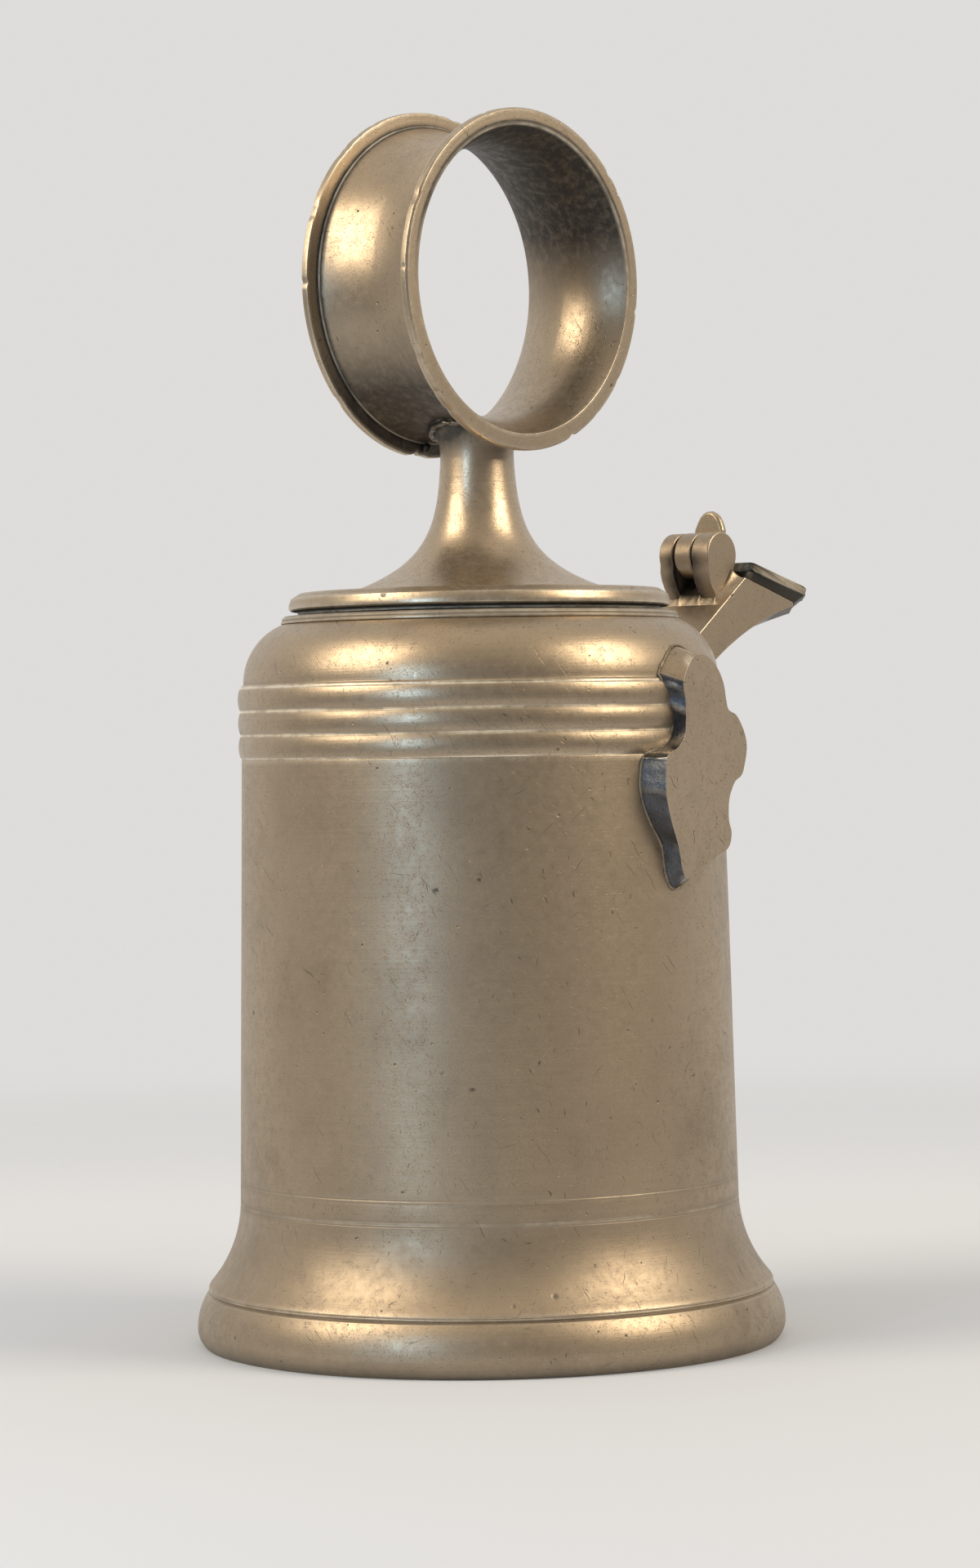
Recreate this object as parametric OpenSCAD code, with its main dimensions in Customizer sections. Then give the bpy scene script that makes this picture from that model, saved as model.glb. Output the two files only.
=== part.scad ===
// Pewter bell flagon: a cast and turned jug that is carried by the ring on its lid.
// The origin is on the body's axis at table level, +Z is up and the spout points along +X.
// The ring's plane holds the spout's direction, and the shield sits on the -Y side.

/* [Body] */
// Outside radius of the drum at the bands
drum_r = 63.5; // [56:0.5:72]
// How much wider the drum is at the top of the foot's cove
drum_taper = 2.3; // [0:0.1:5]
// Thickness of the cast walls
wall_t = 2.8; // [2:0.1:3.6]
// Height of the seam between the drum and the upper casting
seam_z = 153.7; // [120:0.1:190]
// Number of raised bands round the top of the drum
band_n = 3; // [1:1:4]
// Height of one raised band
band_h = 6.23; // [4:0.01:8]
// How far each band swells out
band_rise = 0.75; // [0.3:0.05:1.5]
// Radius of the shoulder's curve, seen in section
shoulder_r = 16.75; // [14:0.05:19]
// Angle through which the shoulder curves in
shoulder_arc = 68.6; // [60:0.1:74]

/* [Foot] */
// How far the foot stands out from the drum
foot_out = 14.1; // [11:0.1:20]
// Height of the foot ring, up to its seam with the drum
foot_h = 14.8; // [12:0.1:20]
// Height at which the cove runs out into the drum
cove_z = 38; // [36:0.5:46]
// Width of the ring that the flagon stands on
rest_w = 4; // [3:0.1:6]
// Height of the hollow under the bottom disc
bottom_lift = 6; // [3:0.5:8]
// Thickness of the bottom disc
bottom_t = 2.5; // [2:0.1:3.5]

/* [Mouth and lid] */
// Width of the shoulder's top from its outer edge to the mouth
mouth_land = 8.66; // [7.6:0.01:11]
// Width of the flange round the mouth that the lid's tongues catch under
flange_w = 5.1; // [4:0.1:6]
// Height of the collar above the shoulder
collar_h = 2; // [1.5:0.1:4]
// Depth of the collar's spigot inside the neck
spigot_h = 1.6; // [1:0.1:2]
// How far the lid's edge lies inside the shoulder's top
lid_in = 1.76; // [-1:0.01:3]
// Height of the lid from the underside of its rim
lid_h = 4.7; // [4:0.1:7]
// Height of the shadow gap under the lid's rim
lid_gap = 1.2; // [0.6:0.1:2]
// Width of the bevel round the top of the lid
lid_bevel = 3; // [1:0.1:4]
// Wall of the bayonet ring under the lid
bayonet_t = 2.5; // [2:0.1:3.5]
// How far the bayonet ring reaches below the collar's flange
bayonet_drop = 5.4; // [4.5:0.1:8]
// Width of each of the two tongues
tongue_w = 14; // [10:0.5:18]
// Thickness of the tongues
tongue_t = 2.9; // [2:0.1:3.4]

/* [Stem and ring] */
// Height of the stem from the lid to the ring's waist
stem_h = 43.1; // [36:0.1:52]
// Radius of the stem where it leaves the lid
stem_base_r = 35; // [28:0.5:38]
// Radius of the stem at its narrowest
stem_neck_r = 9.7; // [8:0.1:12]
// Outside radius of the ring handle's near rim
ring_r = 44.5; // [40:0.1:50]
// Width of the ring handle along its own axis
ring_w = 37; // [30:0.5:44]
// Width of each flat rim, measured outwards
ring_rim_w = 4.4; // [3.5:0.1:6]
// Depth of the waist between the rims
ring_waist_depth = 6.3; // [5:0.1:7]
// Thickness of each rim flange along the ring's axis
ring_flange_t = 2.2; // [1.6:0.1:3]
// How much larger the far rim is than the near one
ring_far_more = 1.3; // [0:0.1:2]
// Lean of the ring towards its near rim
ring_lean = 1.9; // [0:0.1:3]
// Turn of the ring round the stem
ring_turn = -1.3; // [-3:0.1:3]

/* [Spout] */
// Width of the spout
spout_w = 24; // [20:0.5:28]
// How far the side lip stands out from the drum
spout_reach = 55.5; // [48:0.5:62]
// Height of the mouth's back edge above the drum's seam
spout_rise = 48; // [44:0.5:52]
// Length of the spout's mouth, seen from the side
spout_mouth_l = 21.4; // [19:0.1:24]
// Fall of the spout's mouth towards the lip
mouth_fall = 17.2; // [12:0.1:22]
// Slope of the spout's back wall
back_slope = 37.3; // [34:0.1:40]
// Radius of the spout's hollow front curve
front_r = 101; // [90:1:120]
// Wall of the spout
spout_t = 2; // [1.6:0.1:2.4]
// How far the pointed front of the lip stands out
bow_reach = 5.4; // [3:0.1:7]

/* [Flap and hinge] */
// Distance of the hinge from the mouth's back edge, towards the lid
hinge_back = 6.2; // [5.5:0.1:7]
// Height of the hinge above the mouth's back edge
hinge_up = 6.3; // [6:0.1:8]
// Radius of the hinge knuckles
knuckle_r = 6.4; // [5.5:0.1:7]
// Radius of the hinge pin
pin_r = 1.5; // [1:0.1:2]
// Width of the lug on the shield's side
near_lug_w = 6; // [4:0.1:7]
// Width of the lug on the other side
far_lug_w = 4.6; // [3:0.1:6]
// Width of the knuckle between the lugs
knuckle_w = 5.6; // [4:0.1:7]
// How far the flap overhangs the mouth at the sides
flap_overhang = 1.3; // [0.5:0.1:2.5]
// Thickness of the flap's plain edge
flap_edge_t = 2.6; // [1.2:0.1:3]
// Thickness of the bevelled underside
flap_bevel_t = 2.1; // [1:0.1:3]
// Width of the thumbpiece
thumb_w = 10; // [6:0.5:14]
// Height of the thumbpiece above the knuckles
thumb_h = 5.8; // [4:0.1:9]

/* [Shield] */
// Direction of the shield round the body, counted from the spout
shield_turn = -78.5; // [-100:0.5:-70]
// How far the shield's face stands out from the drum
shield_stand = 3.4; // [2.5:0.1:6]
// Width of the shield
shield_w = 45; // [36:0.5:50]
// How far the shield hangs below the seam
shield_drop = 31.5; // [24:0.1:42]

/* [Hidden] */
$fn = 96;

// Clearances: soldered seats, the hinge's running fit and the parts that lift or swing
seat_gap = 0.05;
pin_seat_gap = 0.02;
pin_run_gap = 0.06;
lift_gap = 0.5;
rest_gap = 0.1;
// One overrun for all cuts
over = 1;
// Points along a curve in section
arc_n = 10;

// Foot: an ovolo of two radii, a pair of turned lines and the ledge for the bottom disc
ovolo_r = 16.3;
ovolo_low_r = 6;
ovolo_z = 4.5;
line_deep = 0.5;
line_h = 0.45;
foot_r = drum_r + foot_out;
foot_draw = 3.1;
foot_top_r = foot_r - foot_draw;
foot_fillet_h = 1.3;
foot_bore_r = foot_r - ovolo_low_r * (1 - cos(asin(ovolo_z / ovolo_low_r))) - rest_w;
ledge_w = 2.5;
ledge_z = bottom_lift + bottom_t;

// Drum: the cove is an arc that starts at the foot's ledge and ends upright at cove_z
drum_low_r = drum_r + drum_taper;
cove_start_z = foot_h + foot_fillet_h;
cove_start_r = foot_top_r - line_deep;
cove_in = cove_start_r - drum_low_r;
cove_up = cove_z - cove_start_z;
cove_r = (cove_up * cove_up + cove_in * cove_in) / (2 * cove_in);
cove_x = drum_low_r + cove_r;
inner_cove_r = cove_r + wall_t;
inner_foot_r = foot_bore_r - ledge_w;

// Upper casting: bands, shoulder and neck
bands_z = seam_z + band_n * band_h;
shoulder_step = 0.8;
shoulder_lift = 1;
shoulder_x = drum_r - shoulder_step - shoulder_r;
shoulder_z = bands_z + shoulder_lift;
shoulder_top_r = shoulder_x + shoulder_r * cos(shoulder_arc);
shoulder_top_z = shoulder_z + shoulder_r * sin(shoulder_arc);
inner_shoulder_r = shoulder_r - wall_t;
mouth_r = shoulder_top_r - mouth_land;
neck_r = mouth_r + flange_w;

// Collar and bayonet
collar_lip = 0.35;
collar_draw = 1;
collar_top_z = shoulder_top_z + collar_h;
flange_low_z = shoulder_top_z - spigot_h;
notch_deep = 3.2;
notch_gap = 1;
tongue_gap = 0.3;
tongue_reach = notch_deep - tongue_gap;

// Lid
lid_r = shoulder_top_r - lid_in;
lid_seat_z = collar_top_z + rest_gap;
lid_low_z = collar_top_z + lid_gap;
lid_top_z = lid_low_z + lid_h;
lid_land_w = 5;
lid_edge_h = 1;
lid_edge_cut = 0.5;
bayonet_r = mouth_r - lift_gap;
bayonet_low_z = flange_low_z - bayonet_drop;
lid_skin_t = 2.8;
bevel_round_shares = [0.2, 0.32];

// Ring handle and stem
ring_waist_r = ring_r - ring_waist_depth;
ring_z = lid_top_z + stem_h + ring_waist_r;
ring_inner_r = ring_r - ring_rim_w;
ring_inner_rise = 5.1;
ring_step = 3.4;
ring_bead = 0.9;
ring_edge = 0.5;
ring_waist_half = ring_w / 2 - ring_flange_t - ring_bead;
ring_waist_end_r = ring_r - ring_step - line_deep;
stem_sweep = 4.15;
stem_flare_z = ring_z - ring_waist_r;
stem_flare_r = 12.6;
stem_flare_h = 8;
stem_top_over = 3.4;

// Spout: the side lip, the mouth's back edge and the front curve's centre
lip_x = drum_r + spout_reach;
back_x = lip_x - spout_mouth_l;
back_z = seam_z + spout_rise;
lip_z = back_z - spout_mouth_l * tan(mouth_fall);
lip_t = 1.3;
root_lift = 6.3;
root_z = seam_z + root_lift;
front_a = [lip_x, lip_z - lip_t];
front_b = [drum_r, root_z];
front_mid = (front_a + front_b) / 2;
front_chord = norm(front_a - front_b);
front_dir = (front_a - front_b) / front_chord;
front_c = front_mid + sqrt(front_r * front_r - front_chord * front_chord / 4)
    * [front_dir[1], -front_dir[0]];
front_lip_a = atan2(front_a[1] - front_c[1], front_a[0] - front_c[0]);
front_root_a = atan2(front_b[1] - front_c[1], front_b[0] - front_c[0]);
back_dir = [cos(back_slope), sin(back_slope)];
back_normal = [-sin(back_slope), cos(back_slope)];
mouth_dir = [cos(mouth_fall), -sin(mouth_fall)];
mouth_normal = [sin(mouth_fall), cos(mouth_fall)];
root_in = 12;
root_run_share = 0.12;
channel_over = 3;
// Places along the front curve where the bow starts, swells and meets the lip, and its swell there
bow_place_shares = [0.42, 0.2, 0];
bow_swell_shares = [0, 0.6, 1];
bow_drop = 3.4;
bow_side = 5.5;
bow_skin = 0.2;
bow_mitre_a = 22.5;

// Hinge and flap
hinge_x = back_x - hinge_back;
hinge_z = back_z + hinge_up;
lug_side = 8.8;
near_lug_y = -lug_side;
knuckle_gap = 0.5;
knuckle_y = near_lug_y + near_lug_w + knuckle_gap;
fork_base_t = 1.5;
fork_base_l = 11.5;
lug_foot_l = 11.2;
pin_blind = 1.5;
flap_gap = 0.6;
flap_front_over = 3.4;
flap_inset = 1.9;
neck_drop = 1.8;
thumb_t = 2.4;
thumb_top_w = 6;
thumb_x = hinge_x + 5;
thumb_clear = 0.45;
thumb_low_z = hinge_z + knuckle_r + thumb_clear;

// Shield outline: places along its edge as shares of its width and height, from the top left
shield_h = 52.3;
shield_low_z = seam_z - shield_drop;
shield_shares = [
    [-0.17, 1.06], [-0.02, 1.08], [0.13, 1.02], [0.21, 0.94], [0.24, 0.86], [0.27, 0.81],
    [0.37, 0.78], [0.46, 0.70], [0.49, 0.62], [0.45, 0.52], [0.41, 0.48], [0.33, 0.45],
    [0.26, 0.37], [0.25, 0.27], [0.28, 0.20], [0.24, 0.13], [0.10, 0.09], [-0.06, 0.05],
    [-0.26, -0.01], [-0.33, 0.04], [-0.37, 0.15], [-0.46, 0.29], [-0.51, 0.42], [-0.50, 0.55],
    [-0.47, 0.60], [-0.36, 0.63], [-0.28, 0.68], [-0.26, 0.76], [-0.26, 0.86], [-0.28, 0.95]
];
shield_face = drum_r + shield_stand;
shield_sunk = 24;
shield_back = drum_r - shield_sunk;
shield_x = 0.3;

// Points of an arc about [x, z] from angle a to angle b
function arc(x, z, r, a, b, n = arc_n) =
    [for (i = [0 : n]) [x + r * cos(a + (b - a) * i / n), z + r * sin(a + (b - a) * i / n)]];

// Points of a closed smooth curve through the given places
function flowing(p, n = 4) =
    let (m = len(p))
    [for (k = [0 : m - 1], i = [0 : n - 1])
        let (t = i / n, a = p[(k + m - 1) % m], b = p[k], c = p[(k + 1) % m], d = p[(k + 2) % m])
        b + (c - a) * t / 2 + (a * 2 - b * 5 + c * 4 - d) * t * t / 2
            + (b * 3 - a - c * 3 + d) * t * t * t / 2];

function joined(lists) = [for (l = lists) for (p = l) p];

// Outer surface of the drum's castings, from the cove to the top of the shoulder
function cove_angle(r, z) = 180 + asin((cove_z - z) / r);
function band_points(i) =
    [for (k = [0 : 6]) [drum_r + band_rise * sin(180 * k / 6), seam_z + band_h * (i + k / 6)]];
function shoulder_profile() = concat(
    joined([for (i = [0 : band_n - 1]) band_points(i)]),
    arc(shoulder_x, shoulder_z, shoulder_r, 0, shoulder_arc));

module round_body(points) {
    rotate_extrude() polygon(points);
}

module foot_ring() {
    top_a = asin((foot_h - foot_fillet_h - ovolo_z) / ovolo_r);
    color("#9c9078")
    round_body(concat(
        [[foot_bore_r, 0]],
        arc(foot_r - ovolo_low_r, ovolo_z, ovolo_low_r, -asin(ovolo_z / ovolo_low_r), 0, 5),
        arc(foot_r - ovolo_r, ovolo_z, ovolo_r, 0, top_a, 6),
        [[foot_top_r - line_deep, foot_h - foot_fillet_h + line_h],
         [foot_top_r, foot_h - line_h],
         [foot_top_r, foot_h],
         [inner_foot_r, foot_h],
         [inner_foot_r, ledge_z],
         [foot_bore_r, ledge_z]]));
}

module bottom_disc() {
    color("#857b66")
    translate([0, 0, bottom_lift])
    cylinder(h = bottom_t, r = foot_bore_r - seat_gap);
}

module drum_wall() {
    inner_a = 180 + acos((cove_x - inner_foot_r) / inner_cove_r);
    color("#a3967c")
    round_body(concat(
        [[inner_foot_r, foot_h],
         [foot_top_r, foot_h],
         [foot_top_r, foot_h + line_h],
         [cove_start_r, cove_start_z]],
        arc(cove_x, cove_z, cove_r, cove_angle(cove_r, cove_start_z), 180),
        [[drum_r, seam_z],
         [drum_r - wall_t, seam_z]],
        arc(cove_x, cove_z, inner_cove_r, 180, inner_a)));
}

module shoulder() {
    neck_a = acos((neck_r - shoulder_x) / inner_shoulder_r);
    color("#a89b81")
    difference() {
        round_body(concat(
            [[drum_r - wall_t, seam_z]],
            shoulder_profile(),
            [[neck_r, shoulder_top_z]],
            arc(shoulder_x, shoulder_z, inner_shoulder_r, neck_a, 0)));
        channel();
    }
}

module mouth_collar() {
    notch_w = tongue_w + 2 * notch_gap;
    color("#b1a489")
    difference() {
        round_body([
            [mouth_r, flange_low_z],
            [neck_r - seat_gap, flange_low_z],
            [neck_r - seat_gap, shoulder_top_z],
            [shoulder_top_r + collar_lip, shoulder_top_z],
            [shoulder_top_r + collar_lip - collar_draw, collar_top_z],
            [mouth_r, collar_top_z]]);
        intersection() {
            cylinder(h = collar_top_z + over, r = mouth_r + notch_deep);
            translate([-mouth_r - over - notch_deep, -notch_w / 2, flange_low_z - over])
            cube([2 * (mouth_r + over + notch_deep), notch_w, spigot_h + collar_h + 2 * over]);
        }
    }
}

module bayonet_ring() {
    tongue_top_z = flange_low_z - tongue_gap;
    color("#8f8570")
    union() {
        round_body([
            [bayonet_r - bayonet_t, bayonet_low_z],
            [bayonet_r, bayonet_low_z],
            [bayonet_r, lid_top_z - lid_skin_t],
            [bayonet_r - bayonet_t, lid_top_z - lid_skin_t]]);
        intersection() {
            round_body([
                [bayonet_r - bayonet_t / 2, tongue_top_z - tongue_t],
                [mouth_r + tongue_reach, tongue_top_z - tongue_t],
                [mouth_r + tongue_reach, tongue_top_z],
                [bayonet_r - bayonet_t / 2, tongue_top_z]]);
            translate([-mouth_r - over - notch_deep, -tongue_w / 2, 0])
            cube([2 * (mouth_r + over + notch_deep), tongue_w, lid_top_z]);
        }
    }
}

module lid_plate() {
    land_r = bayonet_r + seat_gap;
    color("#ab9e84")
    round_body([
        [0, lid_top_z - lid_skin_t],
        [land_r, lid_top_z - lid_skin_t],
        [land_r, lid_seat_z],
        [land_r + lid_land_w, lid_seat_z],
        [land_r + lid_land_w, lid_low_z],
        [lid_r - lid_edge_cut, lid_low_z],
        [lid_r, lid_low_z + lid_edge_cut],
        [lid_r, lid_low_z + lid_edge_cut + lid_edge_h],
        [lid_r - lid_bevel * bevel_round_shares[0], lid_top_z - lid_h * bevel_round_shares[1]],
        [lid_r - lid_bevel, lid_top_z],
        [0, lid_top_z]]);
}

// The stem narrows quickly from the lid and then slowly up to the ring
function stem_r_at(s) = stem_neck_r + (stem_base_r - stem_neck_r)
    * (exp(-stem_sweep * s) - exp(-stem_sweep)) / (1 - exp(-stem_sweep));

module lid_stem() {
    neck_z = stem_flare_z - stem_flare_h;
    stem_n = 20;
    color("#a6997f")
    difference() {
        round_body(concat(
            [[0, lid_top_z]],
            [for (i = [0 : stem_n]) let (s = pow(i / stem_n, 2))
                [stem_r_at(s), lid_top_z + (neck_z - lid_top_z) * s]],
            [for (i = [1 : 6]) let (t = i / 6)
                [stem_neck_r + (stem_flare_r - stem_neck_r) * t * t * t,
                 neck_z + (stem_flare_h + stem_top_over) * t]],
            [[0, stem_flare_z + stem_top_over]]));
        ring_envelope(seat_gap);
    }
}

// Outer surface of the ring from one rim to the other, [radius, place along the axis]
function ring_outer(gap) = let (
        rise = ring_waist_end_r - ring_waist_r,
        r = (ring_waist_half * ring_waist_half + rise * rise) / (2 * rise),
        a = asin(ring_waist_half / r))
    concat(
        [[ring_r - ring_edge + gap, -ring_w / 2 - gap],
         [ring_r + gap, -ring_w / 2 + ring_edge - gap],
         [ring_r + gap, -ring_w / 2 + ring_flange_t + gap],
         [ring_r - ring_step + gap, -ring_w / 2 + ring_flange_t + gap],
         [ring_r - ring_step + gap, -ring_waist_half]],
        [for (i = [-8 : 8]) [ring_waist_r + r * (1 - cos(a * i / 8)) + gap, r * sin(a * i / 8)]],
        [[ring_r - ring_step + gap, ring_waist_half],
         [ring_r - ring_step + gap, ring_w / 2 - ring_flange_t - gap],
         [ring_r + gap, ring_w / 2 - ring_flange_t - gap],
         [ring_r + gap, ring_w / 2 - ring_edge + gap],
         [ring_r - ring_edge + gap, ring_w / 2 + gap]]);

// The section widens evenly from its middle to the far rim
function widened(points) =
    [for (p = points) [p[0] + ring_far_more * max(0, -p[1]) / (ring_w / 2), p[1]]];

module ring_place() {
    translate([0, 0, ring_z])
    rotate([ring_lean, 0, ring_turn])
    rotate([90, 0, 0])
    children();
}

module ring_envelope(gap) {
    ring_place()
    round_body(concat([[0, -ring_w / 2 - gap]], widened(ring_outer(gap)), [[0, ring_w / 2 + gap]]));
}

module ring_handle() {
    inner_r = (ring_w * ring_w / 4 + ring_inner_rise * ring_inner_rise) / (2 * ring_inner_rise);
    inner_a = asin(ring_w / 2 / inner_r);
    inner_mid_r = ring_inner_r - ring_inner_rise;
    color("#b3a68b")
    ring_place()
    round_body(widened(concat(
        ring_outer(0),
        [for (i = [8 : -1 : -8])
            [inner_mid_r + inner_r * (1 - cos(inner_a * i / 8)), inner_r * sin(inner_a * i / 8)]])));
}

// Side outline of the spout, or of its channel when it is drawn in by a wall
module spout_side(wall) {
    back = [back_x, back_z] - wall * back_normal;
    root_a = front_root_a + (front_root_a - front_lip_a) * root_run_share;
    polygon(concat(
        [back - (back_x - drum_r + root_in) / back_dir[0] * back_dir],
        [back + (wall > 0 ? channel_over * back_dir : [0, 0])],
        wall > 0 ? [[lip_x - wall, lip_z + channel_over]] : [[lip_x, lip_z]],
        arc(front_c[0], front_c[1], front_r + wall, wall > 0
            ? acos((lip_x - wall - front_c[0]) / (front_r + wall)) : front_lip_a, root_a, 16)));
}

// One section across the bow, drawn in by the wall and as deep as the given cut
module bow_section(i, wall, deep) {
    a = front_lip_a + (front_root_a - front_lip_a) * bow_place_shares[i];
    side_z = front_c[1] + front_r * sin(a) + wall;
    half = spout_w / 2 - wall;
    keel_z = side_z - bow_drop * bow_swell_shares[i];
    translate([front_c[0] + front_r * cos(a) - wall, 0, 0])
    rotate([90, 0, 90])
    linear_extrude(bow_skin)
    polygon([[-half, side_z], [-half + bow_side, keel_z], [half - bow_side, keel_z],
        [half, side_z], [half, side_z + deep], [-half, side_z + deep]]);
}

// The flat front of the bow
module bow_front(wall, deep) {
    half = spout_w / 2 - bow_side - wall * tan(bow_mitre_a);
    low_z = lip_z - lip_t - bow_reach * tan(mouth_fall) + wall;
    translate([lip_x + bow_reach - bow_skin - wall, 0, 0])
    rotate([90, 0, 90])
    linear_extrude(bow_skin)
    polygon([[-half, low_z], [half, low_z], [half, low_z + deep], [-half, low_z + deep]]);
}

// The bow of the lip swells out below and in front of the flat sides
module bow(wall, deep) {
    for (i = [0, 1])
        hull() {
            bow_section(i, wall, i == 0 ? lip_t : deep);
            bow_section(i + 1, wall, deep);
        }
    hull() {
        bow_section(2, wall, deep);
        bow_front(wall, deep);
    }
}

module spout_solid() {
    rotate([90, 0, 0])
    translate([0, 0, -spout_w / 2])
    linear_extrude(spout_w)
    spout_side(0);
}

module channel() {
    w = spout_w - 2 * spout_t;
    rotate([90, 0, 0])
    translate([0, 0, -w / 2])
    linear_extrude(w)
    spout_side(spout_t);
}

module spout() {
    color("#a09379")
    difference() {
        union() {
            spout_solid();
            bow(0, lip_t);
        }
        channel();
        bow(spout_t, bow_drop + spout_t);
        round_body(concat(
            [[0, seam_z - root_in], [drum_r + seat_gap, seam_z - root_in]],
            [for (p = shoulder_profile()) p + [seat_gap, seat_gap]],
            [[0, shoulder_top_z + seat_gap]]));
    }
}

module xz_slab(y_low, y_high) {
    translate([0, y_high, 0])
    rotate([90, 0, 0])
    linear_extrude(y_high - y_low)
    children();
}

module hinge_fork() {
    base_end = [back_x, back_z] + seat_gap * back_normal;
    base_start = base_end - fork_base_l * back_dir;
    lift = fork_base_t * back_normal;
    lug_end = base_end + lift;
    lug_start = lug_end - lug_foot_l * back_dir;
    color("#998d74")
    difference() {
        union() {
            xz_slab(-lug_side, lug_side)
            polygon([base_start, base_end, base_end + lift, base_start + lift]);
            for (y = [[near_lug_y, near_lug_w], [lug_side - far_lug_w, far_lug_w]])
                xz_slab(y[0], y[0] + y[1])
                union() {
                    translate([hinge_x, hinge_z])
                    circle(knuckle_r);
                    polygon([lug_start - lift / 2, lug_end - lift / 2, lug_end,
                        [hinge_x + knuckle_r, hinge_z], [hinge_x - knuckle_r, hinge_z], lug_start]);
                }
        }
        pin_shape(pin_r + pin_seat_gap);
    }
}

module pin_shape(r) {
    pin_l = 2 * lug_side - pin_blind;
    translate([hinge_x, lug_side, hinge_z])
    rotate([90, 0, 0])
    cylinder(h = pin_l, r = r);
}

module hinge_pin() {
    color("#6f675a")
    pin_shape(pin_r);
}

module flap_outline(inset) {
    half = spout_w / 2 + flap_overhang - inset;
    back = inset / 2;
    side_l = spout_mouth_l / cos(mouth_fall) + flap_front_over - flap_gap - inset;
    front_l = side_l + bow_reach;
    polygon([[back, -half], [side_l, -half], [front_l, -half + bow_reach],
        [front_l, half - bow_reach], [side_l, half], [back, half]]);
}

module flap() {
    knuckle_end = knuckle_y + knuckle_w;
    plate_low = rest_gap;
    plate_mid = plate_low + flap_bevel_t;
    plate_top = plate_mid + flap_edge_t;
    thin = flap_bevel_t / 10;
    plate_back = [back_x, back_z] + flap_gap * mouth_dir;
    color("#ada086")
    difference() {
        union() {
            translate([plate_back[0], 0, plate_back[1]])
            rotate([0, mouth_fall, 0])
            union() {
                translate([0, 0, plate_mid])
                linear_extrude(flap_edge_t)
                flap_outline(0);
                hull() {
                    translate([0, 0, plate_low])
                    linear_extrude(thin)
                    flap_outline(flap_inset);
                    translate([0, 0, plate_mid])
                    linear_extrude(thin)
                    flap_outline(0);
                }
            }
            xz_slab(knuckle_y, knuckle_end)
            union() {
                translate([hinge_x, hinge_z])
                circle(knuckle_r);
                polygon([
                    [hinge_x, hinge_z - knuckle_r / 2],
                    plate_back + (plate_low + neck_drop / 2) * mouth_normal,
                    plate_back + (plate_low + neck_drop / 2) * mouth_normal + neck_drop * mouth_dir,
                    plate_back + plate_top * mouth_normal + neck_drop * mouth_dir,
                    [thumb_x + thumb_t, thumb_low_z],
                    [hinge_x, hinge_z + knuckle_r]]);
            }
        }
        translate([hinge_x, knuckle_end + over, hinge_z])
        rotate([90, 0, 0])
        cylinder(h = knuckle_w + 2 * over, r = pin_r + pin_run_gap);
    }
}

module thumbpiece() {
    round_r = 2;
    round_a = 20;
    color("#b5a88d")
    translate([thumb_x, 0, thumb_low_z + seat_gap])
    rotate([90, 0, 90])
    linear_extrude(thumb_t)
    polygon(concat(
        [[-thumb_w / 2, 0], [thumb_w / 2, 0]],
        arc(thumb_top_w / 2 - round_r / 2, thumb_h - round_r, round_r, round_a, 90, 4),
        arc(-thumb_top_w / 2 + round_r / 2, thumb_h - round_r, round_r, 90, 180 - round_a, 4)));
}

module shield_outline() {
    polygon(flowing([for (s = shield_shares)
        [s[0] * shield_w + shield_x, shield_low_z + s[1] * shield_h]]));
}

module shield() {
    color("#8d836f")
    difference() {
        rotate([0, 0, shield_turn])
        translate([shield_back, 0, 0])
        rotate([90, 0, 90])
        linear_extrude(shield_face - shield_back)
        shield_outline();
        round_body(concat(
            [[0, 0], [drum_low_r + seat_gap, cove_z], [drum_r + seat_gap, seam_z]],
            [for (p = shoulder_profile()) p + [seat_gap, seat_gap]],
            [[0, shoulder_top_z + seat_gap]]));
    }
}

foot_ring();
bottom_disc();
drum_wall();
shoulder();
mouth_collar();
shield();
spout();
hinge_fork();
hinge_pin();
flap();
thumbpiece();
lid_plate();
bayonet_ring();
lid_stem();
ring_handle();
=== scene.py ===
from math import acos, asin, atan2, cos, exp, pi, radians, sin, sqrt, tan

import bmesh
import bpy
import numpy as np
from mathutils import Matrix, Vector


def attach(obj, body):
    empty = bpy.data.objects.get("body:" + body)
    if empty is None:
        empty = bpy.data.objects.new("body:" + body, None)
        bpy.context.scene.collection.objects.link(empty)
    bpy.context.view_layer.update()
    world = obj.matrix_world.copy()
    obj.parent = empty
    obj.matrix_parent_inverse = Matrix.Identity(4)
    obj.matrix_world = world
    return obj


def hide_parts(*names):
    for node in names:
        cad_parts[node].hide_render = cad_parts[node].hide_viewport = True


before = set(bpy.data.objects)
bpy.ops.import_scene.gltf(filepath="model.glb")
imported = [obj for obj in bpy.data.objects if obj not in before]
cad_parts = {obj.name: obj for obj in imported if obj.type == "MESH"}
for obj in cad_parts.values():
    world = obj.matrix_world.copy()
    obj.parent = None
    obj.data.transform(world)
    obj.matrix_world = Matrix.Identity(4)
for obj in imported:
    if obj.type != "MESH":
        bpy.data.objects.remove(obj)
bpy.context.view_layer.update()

# The studio: a pale sweep of floor and backdrop, a dim room behind the camera that the metal
# mirrors, a warm softbox on either side and a small cool window-like lamp by the camera.
MM = 0.001
scene = bpy.context.scene
scene.view_settings.view_transform = "Standard"
camera_place = Vector((-0.843, -0.759, 0.1605))
towards_camera = Vector((-0.743, -0.669, 0.0)).normalized()


def add(tree, kind, facts=None, ins=None, out=0):
    """Adds a node with these properties and inputs, and returns one of its outputs."""
    n = tree.nodes.new(kind)
    for k, v in (facts or {}).items():
        setattr(n, k, v)
    for k, v in (ins or {}).items():
        if isinstance(v, bpy.types.NodeSocket):
            tree.links.new(v, n.inputs[k])
        else:
            n.inputs[k].default_value = v
    return n.outputs[out]


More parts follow.
